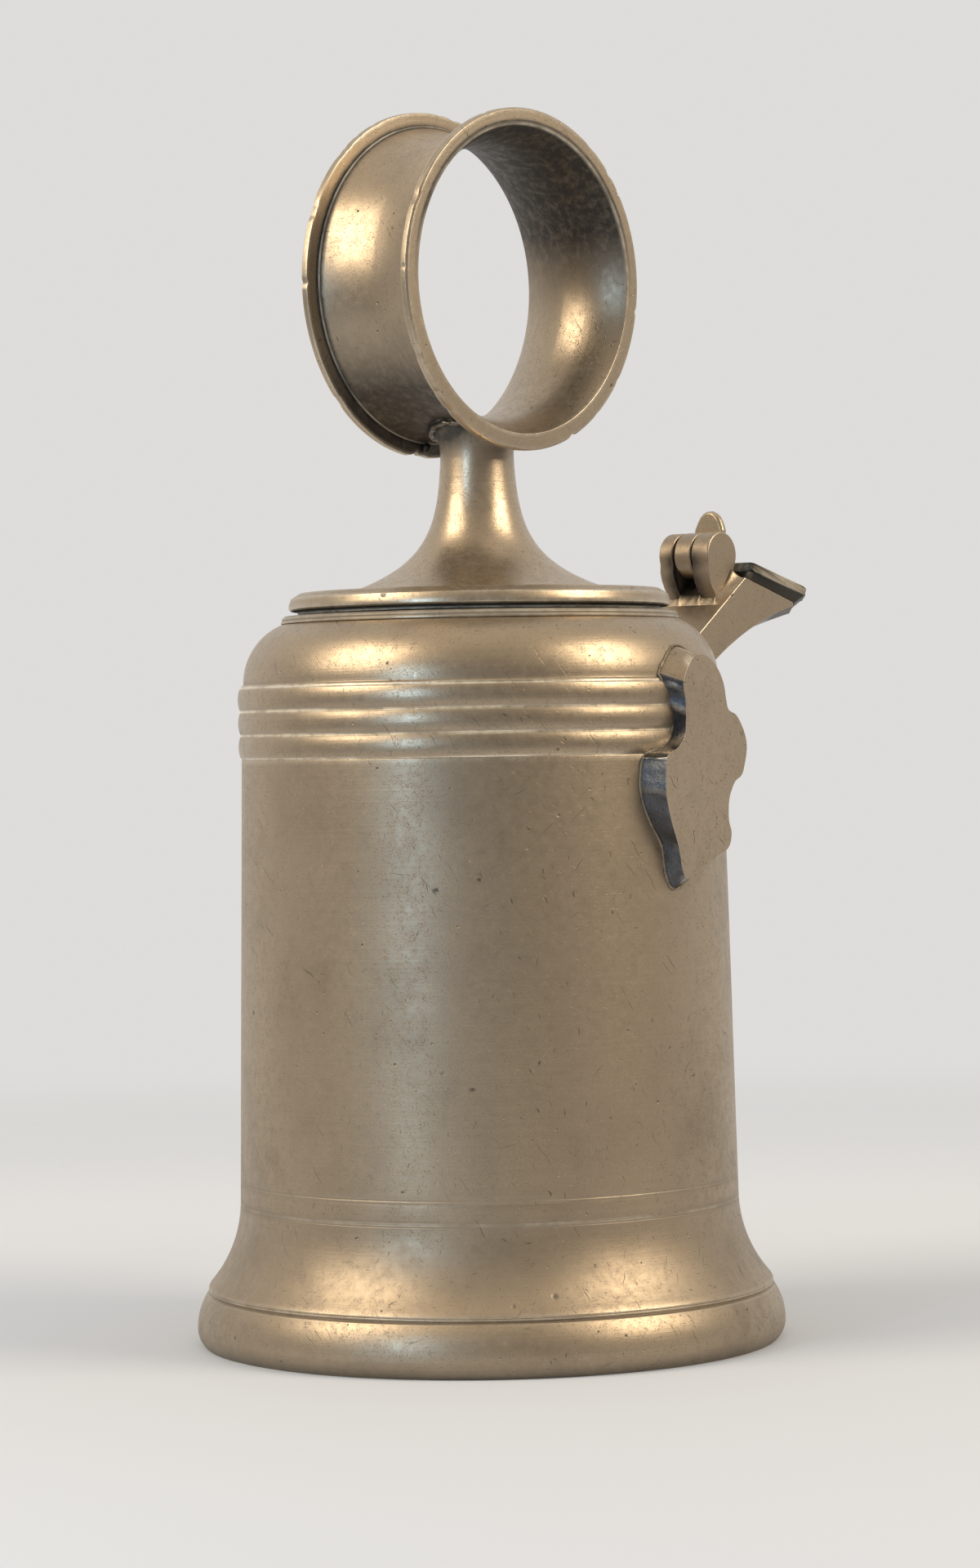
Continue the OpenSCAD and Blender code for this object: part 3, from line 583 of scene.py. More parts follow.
# Collar: a turned pewter ring soldered round the mouth, with a small bead and two notches inside
# that let the lid's tongues through.
collar_h, spigot_h, collar_lip = 2.0, 1.6, 0.35
notch_w, notch_deep = 16.0, 3.2
collar_top_z = shoulder_top_z + collar_h
flange_low_z = shoulder_top_z - spigot_h
collar_out_r = shoulder_top_r + collar_lip


def notched(r, h, a):
    """Cuts the two notches into the mouth's edge."""
    across = np.abs(mouth_r * np.sin(a)) < notch_w / 2
    return np.where(across & (r < mouth_r + 1.2), mouth_r + notch_deep, r), h


collar_section = worn_section(
    [(mouth_r, flange_low_z), (neck_r - seat_gap, flange_low_z), (neck_r - seat_gap, shoulder_top_z),
     (collar_out_r, shoulder_top_z), (collar_out_r, shoulder_top_z + 0.55),
     (collar_out_r - 0.35, shoulder_top_z + 0.8), (collar_out_r - 0.2, shoulder_top_z + 1.3),
     (collar_out_r - 1.0, collar_top_z), (mouth_r, collar_top_z)], 0.15, 1.0)
collar = turned("collar", collar_section, shoulder_pewter, 480, shift=notched, wear_by=0.35, dirt_by=0.6)
# Painted shade on the collar's top, in the gap under the lid.
add_dirt_and_shade(collar, lambda x, y, z: 0.95 * (z > collar_top_z - 0.3))
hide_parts("mouth_collar")
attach(collar, "flagon")

# Bayonet ring: a plain pewter ring soldered under the lid. Its two tongues go down through the
# collar's notches and turn in under the collar, which locks the lid.
lid_gap, lid_h, lid_skin_t = 1.2, 4.7, 2.8
lift_gap, bayonet_t, bayonet_drop = 0.5, 2.5, 5.4
tongue_w, tongue_t, tongue_reach, tongue_gap = 14.0, 2.9, 2.9, 0.3
lid_top_z = collar_top_z + lid_gap + lid_h
skin_z = lid_top_z - lid_skin_t
bayonet_r = mouth_r - lift_gap
bayonet_low_z = flange_low_z - bayonet_drop
tongue_top_z = flange_low_z - tongue_gap
bayonet_section = worn_section(
    [(bayonet_r - bayonet_t, bayonet_low_z), (bayonet_r, bayonet_low_z),
     (bayonet_r, tongue_top_z - tongue_t), (bayonet_r, tongue_top_z), (bayonet_r, skin_z),
     (bayonet_r - bayonet_t, skin_z)], 0.25, 1.2)


def tongued(r, h, a):
    """Draws the wall out into the two tongues."""
    across = np.abs(bayonet_r * np.sin(a)) < tongue_w / 2
    tall = (h > tongue_top_z - tongue_t - 0.05) & (h < tongue_top_z + 0.02)
    return np.where(across & tall & (r > bayonet_r - 0.4), mouth_r + tongue_reach, r), h


dark_pewter = pewter("dark_pewter", (0.36, 0.285, 0.205), (0.17, 0.137, 0.105), rough=0.42, tarnish=1.0)
bayonet = turned("bayonet", bayonet_section, dark_pewter, 480, shift=tongued)
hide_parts("bayonet_ring")
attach(bayonet, "lid")

# Lid: a heavy flat disc of cast pewter with a bevelled edge. It is slightly warped, so that a gap
# shows under it, and its underside carries painted shade.
lid_r, lid_bevel, lid_edge_cut, lid_land_w, rest_gap = 50.3, 3.0, 0.5, 5.05, 0.1
lid_low_z, lid_seat_z = lid_top_z - lid_h, collar_top_z + rest_gap
recess_r, land_r = bayonet_r + seat_gap, bayonet_r + lid_land_w
lid_section = worn_section(
    [(0.0, skin_z), (recess_r, skin_z), (recess_r, lid_seat_z), (land_r, lid_seat_z), (land_r, lid_low_z),
     (lid_r - lid_edge_cut, lid_low_z), (lid_r, lid_low_z + lid_edge_cut), (lid_r, lid_low_z + 1.5),
     (lid_r - 0.6, lid_top_z - 1.5), (lid_r - lid_bevel, lid_top_z), (0.0, lid_top_z)], 0.45, 1.2, False)


def warped(r, h, a):
    """Lifts one side of the rim a little."""
    return r, h + 0.11 * (1 + np.cos(a - radians(195))) * np.clip((r - 30) / 20, 0, 1)


lid = turned("lid", lid_section, shoulder_pewter, 288, False, shift=warped)
# Painted shade on the lid's underside, over the gap.
add_dirt_and_shade(lid, lambda x, y, z: 0.95 * (z < lid_low_z + 0.55 and x * x + y * y < (lid_r - 0.6) ** 2))
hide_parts("lid_plate")
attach(lid, "lid")

# Stem: a trumpet foot, turned in one piece, that carries the ring. Its top is dressed to the
# ring's waist and soldered there.
stem_h, stem_base_r, stem_neck_r, stem_sweep = 43.1, 35.0, 9.7, 4.15
ring_r, ring_w, ring_waist_depth = 44.5, 37.0, 6.3
ring_step, ring_line, ring_far_more = 3.4, 0.5, 1.3
flange_t, bead_w = 2.2, 0.9
ring_turn, ring_lean = radians(-1.3), radians(1.9)
ring_tilt = Matrix.Rotation(ring_turn, 3, "Z") @ Matrix.Rotation(ring_lean, 3, "X")
ring_waist_r = ring_r - ring_waist_depth
ring_z = lid_top_z + stem_h + ring_waist_r
flare_r, flare_h = 12.6, 8.0
waist_half = ring_w / 2 - flange_t - bead_w
waist_rise = ring_r - ring_step - ring_line - ring_waist_r
waist_curve = (waist_half ** 2 + waist_rise ** 2) / (2 * waist_rise)


def waist_at(y):
    """Radius of the ring's outer waist at this place along its axis."""
    far = ring_far_more * np.maximum(0, y) / (ring_w / 2)
    y = np.minimum(np.abs(y), waist_half)
    return ring_waist_r + waist_curve - np.sqrt(waist_curve ** 2 - y ** 2) + far


bright_pewter = pewter("bright_pewter", (0.56, 0.445, 0.315), (0.31, 0.245, 0.18), rough=0.31, tarnish=0.45,
                       scratches=0.6)
flare_low_z = lid_top_z + stem_h - flare_h
stem_end = exp(-stem_sweep)
stem_section = [(0.0, lid_top_z)]
for k in range(61):
    t = (k / 60) ** 1.7
    width = (stem_base_r - stem_neck_r) * (exp(-stem_sweep * t) - stem_end) / (1 - stem_end)
    stem_section.append((stem_neck_r + width, lid_top_z + (flare_low_z - lid_top_z) * t))
for k in range(1, 15):
    t = k / 14
    stem_section.append((stem_neck_r + (flare_r - stem_neck_r) * t ** 3, flare_low_z + flare_h * t))
stem_section = worn_section(stem_section, 0.2, 1.0, False)


def dressed(r, h, a):
    """Bends the top of the stem to the saddle that the ring's waist makes."""
    x, y = flare_r * np.cos(a), flare_r * np.sin(a)
    seat = ring_z + y * tan(ring_lean) - np.sqrt(waist_at(y) ** 2 - x ** 2) + 0.6
    t = np.clip((h - flare_low_z) / flare_h, 0, 1)
    return r, h + (seat - (flare_low_z + flare_h)) * t ** 2


def ring_shadow_and_grime(x, y, z):
    """Painted shadow of the ring towards the stem's top, with grime thickest where the solder ran down."""
    return (0.45 + 0.45 * exp(-((atan2(y, -x) - 0.15) / 0.7) ** 2)) * (z - flare_low_z + 2) / 6


stem = turned("stem", stem_section, bright_pewter, 224, False, shift=dressed, wear_by=0.5)
add_dirt_and_shade(stem, ring_shadow_and_grime)
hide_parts("lid_stem")
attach(stem, "lid")

# Ring handle: one casting, turned all over. Two flat rims stand out over a hollow waist, and a
# bead runs beside each rim. The rims are bright and nicked from handling, the far one is a little
# larger, and the ring leans slightly.
# Its near-black dirt colour also colours the painted shade in the bore and under the waist.
ring_pewter = pewter("ring_pewter", (0.52, 0.415, 0.295), (0.26, 0.21, 0.158), rough=0.32, tarnish=0.7,
                     dirt_and_shade=(0.018, 0.016, 0.014), axis_at=ring_z * MM)
ring_inner_r = ring_r - 4.4
inner_rise = 5.1
inner_curve = (ring_w ** 2 / 4 + inner_rise ** 2) / (2 * inner_rise)
half = ring_w / 2
side = [(ring_r - 0.5, half), (ring_r, half - 0.5), (ring_r, half - flange_t),
        (ring_r - ring_step - 0.25, half - flange_t - 0.15),
        (ring_r - ring_step - 0.1, half - flange_t - 0.45),
        (ring_r - ring_step, waist_half), (ring_r - ring_step - ring_line, waist_half - 0.15)]
waist = [(float(waist_at(-abs(y))), y) for y in np.linspace(waist_half - 0.3, -waist_half + 0.3, 33)]
bore_side = [(ring_inner_r - inner_rise + inner_curve - sqrt(inner_curve ** 2 - y ** 2), y)
             for y in np.linspace(-half, half, 33)]
ring_section = worn_section(
    side + waist + [(r, -y) for r, y in reversed(side)] + bore_side, 0.22, 1.0)
ring_section = ring_section[::-1]
handling = np.random.default_rng(7)
nicks = [(handling.uniform(0, 2 * pi), handling.choice([-1, 1]), handling.uniform(0.006, 0.03),
          handling.uniform(0.1, 0.45)) for k in range(46)]


def nicked(r, h, a):
    """The far rim is wider, and both rims carry nicks from hard use."""
    deep = np.zeros_like(r)
    for place, rim, width, size in nicks:
        turn = (a - place + pi) % (2 * pi) - pi
        deep += size * np.exp(-(turn / width) ** 2) * (h * rim > half - flange_t - 0.4)
    return r - 0.02 + ring_far_more * np.maximum(0, h) / half - deep * (r > ring_r - 1.5), h


def ring_shade_and_grime(*place):
    """Painted shade in the bore's upper half and outside low on the waist, and painted shade with solder
    grime round the stem.
    """
    x, y, z = Vector(place) - Vector((0, 0, ring_z))
    away = sqrt(x * x + z * z)
    high = z / away
    bore = ring_inner_r - inner_rise + inner_curve - sqrt(max(0.0, inner_curve ** 2 - y * y))
    if away < bore + 1.4 + ring_far_more * max(0, y) / half:
        return 0.96 * max(0.0, min(1.0, (high + 0.3) / 0.7)) ** 1.1
    if abs(y) > half - flange_t:
        return 0.0
    near_stem = exp(-((sqrt(x * x + y * y) - 12) / 4) ** 2) * (high < 0)
    return max(0.88 * min(1.0, (-high - 0.25) / 0.5), 0.95 * near_stem)


ring = turned("ring", ring_section, ring_pewter, 512, axis_z=ring_z, shift=nicked, wear_by=0.5)
add_dirt_and_shade(ring, ring_shade_and_grime)
ring_centre = Vector((0, 0, ring_z * MM))
for v in ring.data.vertices:
    v.co = ring_tilt @ (v.co - ring_centre) + ring_centre
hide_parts("ring_handle")
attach(ring, "lid")

# Shield: a bare cast plate with an uneven outline, soldered on the drum. Its face is worn smooth,
# its deep sides spread a little at the top and at the tip, and they carry painted shade with a
# painted blue-grey reflection, except the walls at the top that face the light.
shield_turn, shield_stand, shield_w, shield_h = -78.5, 3.4, 45.0, 52.3
shield_low_z = seam_z - 31.5
shield_shares = [
    (-0.17, 1.06), (-0.02, 1.08), (0.13, 1.02), (0.21, 0.94), (0.24, 0.86), (0.27, 0.81),
    (0.37, 0.78), (0.46, 0.70), (0.49, 0.62), (0.45, 0.52), (0.41, 0.48), (0.33, 0.45),
    (0.26, 0.37), (0.25, 0.27), (0.28, 0.20), (0.24, 0.13), (0.10, 0.09), (-0.06, 0.05),
    (-0.26, -0.01), (-0.33, 0.04), (-0.37, 0.15), (-0.46, 0.29), (-0.51, 0.42), (-0.50, 0.55),
    (-0.47, 0.60), (-0.36, 0.63), (-0.28, 0.68), (-0.26, 0.76), (-0.26, 0.86), (-0.28, 0.95)]
shield_spread = {0: (0.01, 0.06), 1: (0.0, 0.03), 17: (0.0, -0.02), 18: (0.0, -0.05), 19: (-0.01, -0.04),
                 27: (0.02, 0.0), 28: (-0.03, 0.02), 29: (-0.05, 0.05)}
shield_x, curve_steps = 0.3, 7


def flowing(places):
    """Points of a closed smooth curve through these places."""
    p = np.array(places, float)
    out = []
    for k in range(len(p)):
        a, b, c, d = p[k - 1], p[k], p[(k + 1) % len(p)], p[(k + 2) % len(p)]
        for t in np.arange(curve_steps) / curve_steps:
            out.append(b + (c - a) * t / 2 + (2 * a - 5 * b + 4 * c - d) * t * t / 2
                       + (3 * b - a - 3 * c + d) * t ** 3 / 2)
    return np.array(out)


def body_r(z):
    """Outside radius of the drum and shoulder at this height."""
    if z < seam_z:
        return drum_low_r + (drum_r - drum_low_r) * (z - cove_z) / (seam_z - cove_z)
    if z < shoulder_z:
        return drum_r
    return shoulder_x + sqrt(max(0.0, shoulder_r ** 2 - (z - shoulder_z) ** 2))


def baked(obj):
    """The object's mesh with its modifiers applied."""
    return bpy.data.meshes.new_from_object(obj.evaluated_get(bpy.context.evaluated_depsgraph_get()))


def marked(obj, bevel=0.4, segments=4, angle=0.45, wear_and_highlight_share=1.0, chips_and_highlights=()):
    """Rounds the sharp edges, then writes wear on the ridges and dirt in the corners of the mesh.
    Each chip (place in mm, radius) is a ridge made bright, partly as a worn chip and partly as a painted
    highlight."""
    m = obj.modifiers.new("worn edges", "BEVEL")
    m.width, m.segments, m.limit_method, m.angle_limit = bevel * MM, segments, "ANGLE", angle
    m.harden_normals = True
    m.use_clamp_overlap = True
    mesh = baked(obj)
    obj.modifiers.remove(m)
    obj.data = mesh
    b = bmesh.new()
    b.from_mesh(mesh)
    wear_and_highlight, dirt_and_shade = np.zeros(len(b.verts)), np.zeros(len(b.verts))
    broad = max(b.faces, key=lambda f: f.calc_area())
    sunk = {v.index for v in b.verts if chips_and_highlights and broad not in v.link_faces}
    for v in b.verts:
        turns = [e.calc_face_angle_signed(0.0) for e in v.link_edges if len(e.link_faces) == 2]
        if turns:
            wear_and_highlight[v.index] = np.clip((max(turns) - 0.24) / 0.12, 0, 1)
            dirt_and_shade[v.index] = np.clip((-min(turns) - 0.30) / 0.5, 0, 1)
            bright = max([wear_and_highlight_share] + [1.6 * exp(-((v.co / MM - Vector(q)).length / far) ** 2)
                                   for q, far in chips_and_highlights])
            chip_and_highlight = 1.5 * (bright - 0.6) if v.index in sunk else 0
            wear_and_highlight[v.index] = min(1.0, max(wear_and_highlight[v.index] * bright, chip_and_highlight))
    b.free()
    write_marks(mesh, wear_and_highlight, dirt_and_shade)


def on_shield(u, v):
    """A place on the plate in mm from its shares of the width and height."""
    return u * shield_w + shield_x, shield_low_z + v * shield_h


outline = flowing([on_shield(u, v) for u, v in shield_shares])
spin = Matrix.Rotation(radians(shield_turn), 3, "Z")
spread_shares = [np.add(share, shield_spread.get(k, (0, 0))) for k, share in enumerate(shield_shares)]
foot_line = flowing([on_shield(u, v) for u, v in spread_shares])
b = bmesh.new()
face_depth = drum_r + shield_stand
loops = []
for share in (0.0, 0.35, 0.7, 1.0):
    loops.append([])
    for k in range(len(outline)):
        t, z = outline[k] * (1 - share) + foot_line[k] * share
        root = sqrt(body_r(foot_line[k][1]) ** 2 - foot_line[k][0] ** 2) - 0.8
        uneven = 0.35 * sin(k * 0.9) * sin(k * 0.23 + 1) * sin(pi * share)
        loops[-1].append(b.verts.new((face_depth + (root - face_depth) * share, t + uneven, z + uneven)))
b.faces.new(loops[0])
# The walls at these places along the top face the light and keep the plate's colour. The others take the
# painted shade.
lit_places = (29, 0, 1)
for high, low in zip(loops, loops[1:]):
    for k in range(len(high)):
        l = (k + 1) % len(high)
        wall = b.faces.new((high[k], high[l], low[l], low[k]))
        wall.material_index = 0 if k // curve_steps in lit_places else 1
bmesh.ops.recalc_face_normals(b, faces=b.faces)
for f in b.faces:
    f.smooth = True
for v in b.verts:
    v.co = (spin @ v.co) * MM
shield_mesh = bpy.data.meshes.new("shield")
b.to_mesh(shield_mesh)
b.free()
plate_pewter = pewter("plate_pewter", (0.44, 0.345, 0.24), (0.28, 0.22, 0.16), rough=0.44, tarnish=0.6,
                      scratches=2.0)
# The walls' material: painted shade with a painted blue-grey reflection.
shaded_side_pewter = pewter("shaded_side_pewter", (0.13, 0.132, 0.140), (0.035, 0.037, 0.042), rough=0.28, tarnish=1.0,
                     dirt_and_shade=(0.02, 0.02, 0.024), relief=0.0006)
shield_mesh.materials.append(plate_pewter)
shield_mesh.materials.append(shaded_side_pewter)
shield = placed("shield_plate", shield_mesh)
# Bright spots at the notch and at the top tip: partly worn chips, partly painted highlights.
chips_and_highlights = [(spin @ Vector((face_depth, *on_shield(u, v))), far)
         for u, v, far in ((-0.30, 0.66, 2.6), (-0.43, 0.61, 2.2), (-0.19, 1.04, 2.4))]
marked(shield, 0.4, wear_and_highlight_share=0.6, chips_and_highlights=chips_and_highlights)
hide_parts("shield")
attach(shield, "flagon")

# Solder: where pieces meet, the solder stands as a lumpy dull line. One Geometry Nodes tree
# makes a seam along any path, with drips of random size beside it.
solder_pewter = pewter("solder_pewter", (0.36, 0.295, 0.22), (0.13, 0.11, 0.09), rough=0.5, tarnish=1.0,
                       relief=0.0005)
seam_nodes = bpy.data.node_groups.new("Solder seam", "GeometryNodeTree")
seam_nodes.is_modifier = True
face = seam_nodes.interface
face.new_socket("Geometry", in_out="INPUT", socket_type="NodeSocketGeometry")
for label, kind in (("Radius", "NodeSocketFloat"), ("Unevenness", "NodeSocketFloat"),
                    ("Drips per metre", "NodeSocketFloat"), ("Drip size", "NodeSocketFloat"),
                    ("Seed", "NodeSocketInt"), ("Material", "NodeSocketMaterial")):
    face.new_socket(label, in_out="INPUT", socket_type=kind)
face.new_socket("Geometry", in_out="OUTPUT", socket_type="NodeSocketGeometry")
t = seam_nodes
given = t.nodes.new("NodeGroupInput").outputs
path = add(t, "GeometryNodeMeshToCurve", ins={"Mesh": given["Geometry"]})
path = add(t, "GeometryNodeResampleCurve", {"mode": "LENGTH"}, {"Curve": path, "Length": 0.0006})
lumps = add(t, "ShaderNodeTexNoise", {"noise_dimensions": "4D"},
            {"W": given["Seed"], "Scale": 420.0, "Detail": 2.0})
swell = add(t, "ShaderNodeMapRange", None, {0: lumps, 1: 0.3, 2: 0.7, 3: 0.35, 4: 1.35})
swell = maths(t, "MULTIPLY", swell, given["Radius"])
ring_shape = add(t, "GeometryNodeCurvePrimitiveCircle", None, {"Resolution": 10, "Radius": 1.0})
bead_mesh = add(t, "GeometryNodeCurveToMesh", None,
                {"Curve": path, "Profile Curve": ring_shape, "Scale": swell, "Fill Caps": True})
wander = add(t, "ShaderNodeTexNoise", {"noise_dimensions": "4D"},
             {"W": given["Seed"], "Scale": 260.0, "Detail": 1.0}, 1)
wander = vectors(t, "SUBTRACT", {0: wander, 1: (0.5, 0.5, 0.5)})
wander = vectors(t, "SCALE", {0: wander, "Scale": given["Unevenness"]})
bead_mesh = add(t, "GeometryNodeSetPosition", None, {"Geometry": bead_mesh, "Offset": wander})
spots = add(t, "GeometryNodeCurveToPoints", {"mode": "LENGTH"},
            {"Curve": path, "Length": maths(t, "DIVIDE", 1.0, given["Drips per metre"])})
drip = add(t, "GeometryNodeMeshIcoSphere", None, {"Radius": 1.0, "Subdivisions": 3})
size = add(t, "FunctionNodeRandomValue", {"data_type": "FLOAT"},
           {2: 0.3, 3: 1.0, "Seed": given["Seed"]}, 1)
size = maths(t, "MULTIPLY", size, given["Drip size"])
drips = add(t, "GeometryNodeInstanceOnPoints", None, {"Points": spots, "Instance": drip, "Scale": size})
drips = add(t, "GeometryNodeRealizeInstances", None, {"Geometry": drips})
both = t.nodes.new("GeometryNodeJoinGeometry")
t.links.new(bead_mesh, both.inputs[0])
t.links.new(drips, both.inputs[0])
smooth = add(t, "GeometryNodeSetShadeSmooth", None, {"Geometry": both.outputs[0]})
made = add(t, "GeometryNodeSetMaterial", None, {"Geometry": smooth, "Material": given["Material"]})
t.links.new(made, t.nodes.new("NodeGroupOutput").inputs[0])


def solder(name, body, places, closed, radius=0.5, uneven=0.5, drips=90.0, drip=0.4, seed=1,
           metal=solder_pewter):
    """Bakes a seam of solder along these places in mm, riding on a body."""
    path_mesh = bpy.data.meshes.new(name)
    n = len(places)
    path_mesh.from_pydata([tuple(Vector(q) * MM) for q in places],
                          [(k, (k + 1) % n) for k in range(n if closed else n - 1)], [])
    obj = placed(name, path_mesh)
    m = obj.modifiers.new("seam", "NODES")
    m.node_group = seam_nodes
    values = {"Radius": radius * MM, "Unevenness": uneven * MM, "Drips per metre": drips,
              "Drip size": drip * MM, "Seed": seed, "Material": metal}
    for socket in seam_nodes.interface.items_tree:
        if socket.item_type == "SOCKET" and socket.name in values:
            m[socket.identifier] = values[socket.name]
    mesh = baked(obj)
    obj.modifiers.remove(m)
    obj.data = mesh
    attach(obj, body)


shield_seam = [spin @ Vector((sqrt(body_r(z) ** 2 - t * t) + 0.05, t, z)) for t, z in foot_line]
solder("shield_solder", "flagon", shield_seam, True, 0.42, 0.5, 110.0, 0.5, 3)

# Spout: a box of cast walls, soldered over the opening in the shoulder. Its back is straight, its
# front is a long hollow curve, and the lip swells into a blunt bow in front and below.
spout_w, spout_t = 24.0, 2.0
spout_reach, spout_rise, spout_mouth_l = 55.5, 48.0, 21.4
mouth_fall, back_slope, front_r = radians(17.2), radians(37.3), 101.0
lip_t, root_lift, bow_reach, bow_side = 1.3, 6.3, 5.4, 5.5
lip_x, back_z, root_z = drum_r + spout_reach, seam_z + spout_rise, seam_z + root_lift
back_x, lip_z = lip_x - spout_mouth_l, back_z - spout_mouth_l * tan(mouth_fall)
front_a, front_b = np.array([lip_x, lip_z - lip_t]), np.array([drum_r, root_z])
chord = np.linalg.norm(front_a - front_b)
along_front = (front_a - front_b) / chord
front_bow = np.array([along_front[1], -along_front[0]])
front_c = (front_a + front_b) / 2 + sqrt(front_r ** 2 - chord ** 2 / 4) * front_bow
lip_a = atan2(front_a[1] - front_c[1], front_a[0] - front_c[0])
root_a = atan2(front_b[1] - front_c[1], front_b[0] - front_c[0])
back_way = np.array([cos(back_slope), sin(back_slope)])
back_out = np.array([-sin(back_slope), cos(back_slope)])
bow_share_places = [-0.1, 0.40, 0.62, 0.80, 0.92, 1.0]
bow_forward = [0, 0, 0.2, 0.9, 2.8, bow_reach]
bow_down = [0, 0, 1.1, 2.1, 2.2, 1.77]


def spout_loop(s, wall):
    """Six corners of the spout's section, from the root (0) to the lip (1), drawn in by the wall."""
    back = np.array([back_x, back_z]) - back_way * (1 - s) * (back_x - drum_r + 4.0) / back_way[0]
    back = back - back_out * wall
    a = root_a + (lip_a - root_a) * s
    front = front_c + (front_r + wall) * np.array([cos(a), sin(a)])
    keel = front + np.array([np.interp(s, bow_share_places, bow_forward) - wall * 0.7 * max(0, s),
                             -np.interp(s, bow_share_places, bow_down)])
    half, k = spout_w / 2 - wall, spout_w / 2 - bow_side - wall * 0.4
    return [(back[0], -half, back[1]), (front[0], -half, front[1]), (keel[0], -k, keel[1]),
            (keel[0], k, keel[1]), (front[0], half, front[1]), (back[0], half, back[1])]


def mouth_loop(wall):
    """The six corners of the mouth, in its sloping plane."""
    def at(x, y):
        return x, y, back_z - (x - back_x) * tan(mouth_fall)
    half, k = spout_w / 2 - wall, spout_w / 2 - bow_side - wall * 0.4
    tip = lip_x + bow_reach - wall
    return [at(back_x + wall, -half), at(lip_x - wall * 0.3, -half), at(tip, -k),
            at(tip, k), at(lip_x - wall * 0.3, half), at(back_x + wall, half)]


def between(rows, n, closed=True):
    """Faces between each row of n places and the next."""
    return [(j * n + k, j * n + (k + 1) % n, (j + 1) * n + (k + 1) % n, (j + 1) * n + k)
            for j in range(rows - 1) for k in range(n if closed else n - 1)]


places = np.linspace(-0.06, 1, 34)
loops = [spout_loop(s, 0.0) for s in places] + [mouth_loop(0.0), mouth_loop(spout_t)]
loops += [spout_loop(s, spout_t) for s in places[::-1][1:]]
spout_pewter = pewter("spout_pewter", (0.47, 0.372, 0.262), (0.27, 0.215, 0.158), rough=0.38, tarnish=0.7,
                      scratches=0.6, dirt_and_shade=(0.025, 0.021, 0.018))
# A near-black material for faces in shade: painted shade.
underside_shade_pewter = pewter("underside_shade_pewter", (0.068, 0.058, 0.047), (0.03, 0.026, 0.022), rough=0.40, tarnish=1.0,
                     dirt_and_shade=(0.02, 0.018, 0.016), relief=0.0004)
spout = finish_mesh("spout_box", [v for l in loops for v in l], between(len(loops), 6), spout_pewter)
spout.data.materials.append(underside_shade_pewter)
# The bow's downward faces take the painted shade.
shade_from_x = 98.0 * MM
for f in spout.data.polygons:
    if f.normal.z < -0.55 and f.center.x > shade_from_x:
        f.material_index = 1
marked(spout, 0.3, wear_and_highlight_share=0.7)
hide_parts("spout")
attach(spout, "flagon")

# The shoulder is cut through behind it, and a thin seam of solder runs round the spout's root.
channel_loops = [spout_loop(s, spout_t + 0.02) for s in (-0.32, -0.1, 0.1, 0.2)]
channel_faces = [tuple(range(6)), tuple(range(23, 17, -1))] + between(4, 6)
channel = finish_mesh("channel", [v for l in channel_loops for v in l], channel_faces, spout_pewter)
m = shoulder.modifiers.new("channel", "BOOLEAN")
m.object, m.operation, m.solver = channel, "DIFFERENCE", "EXACT"
shoulder.data = baked(shoulder)
shoulder.modifiers.clear()
bpy.data.objects.remove(channel)


def on_body(y, z):
    """A place just outside the drum and shoulder."""
    return sqrt(body_r(z) ** 2 - y * y) + 0.1, y, z


root_half, root_run, root_low_z, root_high_z = 12.2, 13.0, seam_z + 6.0, seam_z + 20.4
spout_seam = [on_body(y, root_low_z) for y in np.linspace(-root_half, root_half, 14)]
spout_seam += [on_body(root_half, root_z + s * root_run) for s in np.linspace(0, 1, 8)]
spout_seam += [on_body(y, root_high_z) for y in np.linspace(root_half, -root_half, 14)[1:-1]]
spout_seam += [on_body(-root_half, root_z + s * root_run) for s in np.linspace(1, 0, 8)]
solder("spout_solder", "flagon", spout_seam, True, 0.25, 0.3, 30.0, 0.3, 8)

# Hinge: two egg-shaped lugs on a common bed, soldered on the spout's back. The near lug is the
# thicker one and hides the pin's end. Solder rises in soft hollows against their sides.
hinge_x, hinge_z = back_x - 6.2, back_z + 6.3
knuckle_r, pin_r, lug_side, near_lug_w, far_lug_w = 6.4, 1.5, 8.8, 6.0, 4.6
near_lug_y, far_lug_y = near_lug_w - lug_side, lug_side - far_lug_w


def prism(outline, low_y, high_y):
    """Vertices and faces of an outline (x, z) between two places along Y."""
    n = len(outline)
    v = [(x, low_y, z) for x, z in outline] + [(x, high_y, z) for x, z in outline]
    f = [tuple(range(n)), tuple(range(2 * n - 1, n - 1, -1))]
    return v, f + [(k, n + k, n + (k + 1) % n, (k + 1) % n) for k in range(n)]


lug_foot = [(-6.1, -4.6), (-5.5, -6.8), (-4.4, -9.0), (-3.2, -10.9), (-2.6, -12.4), (-1.2, -11.9),
            (1.2, -8.8), (3.6, -6.3), (5.2, -4.3)]
egg = arc(hinge_x, hinge_z, knuckle_r, -22, 200, 44) + [(hinge_x + x, hinge_z + z) for x, z in lug_foot]
for name, low_y, high_y in (("hinge_near", -lug_side, near_lug_y), ("hinge_far", far_lug_y, lug_side)):
    lug = finish_mesh(name, *prism(egg, low_y, high_y), spout_pewter)
    marked(lug, 0.5, 5, 0.6, wear_and_highlight_share=0.35)
    # Painted shade in the gap between the lugs, darker towards the bed.
    add_dirt_and_shade(lug, lambda x, y, z: (near_lug_y - 0.7 < y < far_lug_y + 0.7) * (hinge_z + 3 - z) / 4)
    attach(lug, "flagon")
bed_half, bed_l, bed_rows = 11.8, 12.6, 30
across, bed_verts, bed_shade = np.linspace(-bed_half, bed_half, 60), [], []
lug_sides = np.array([-lug_side, near_lug_y, far_lug_y, lug_side])
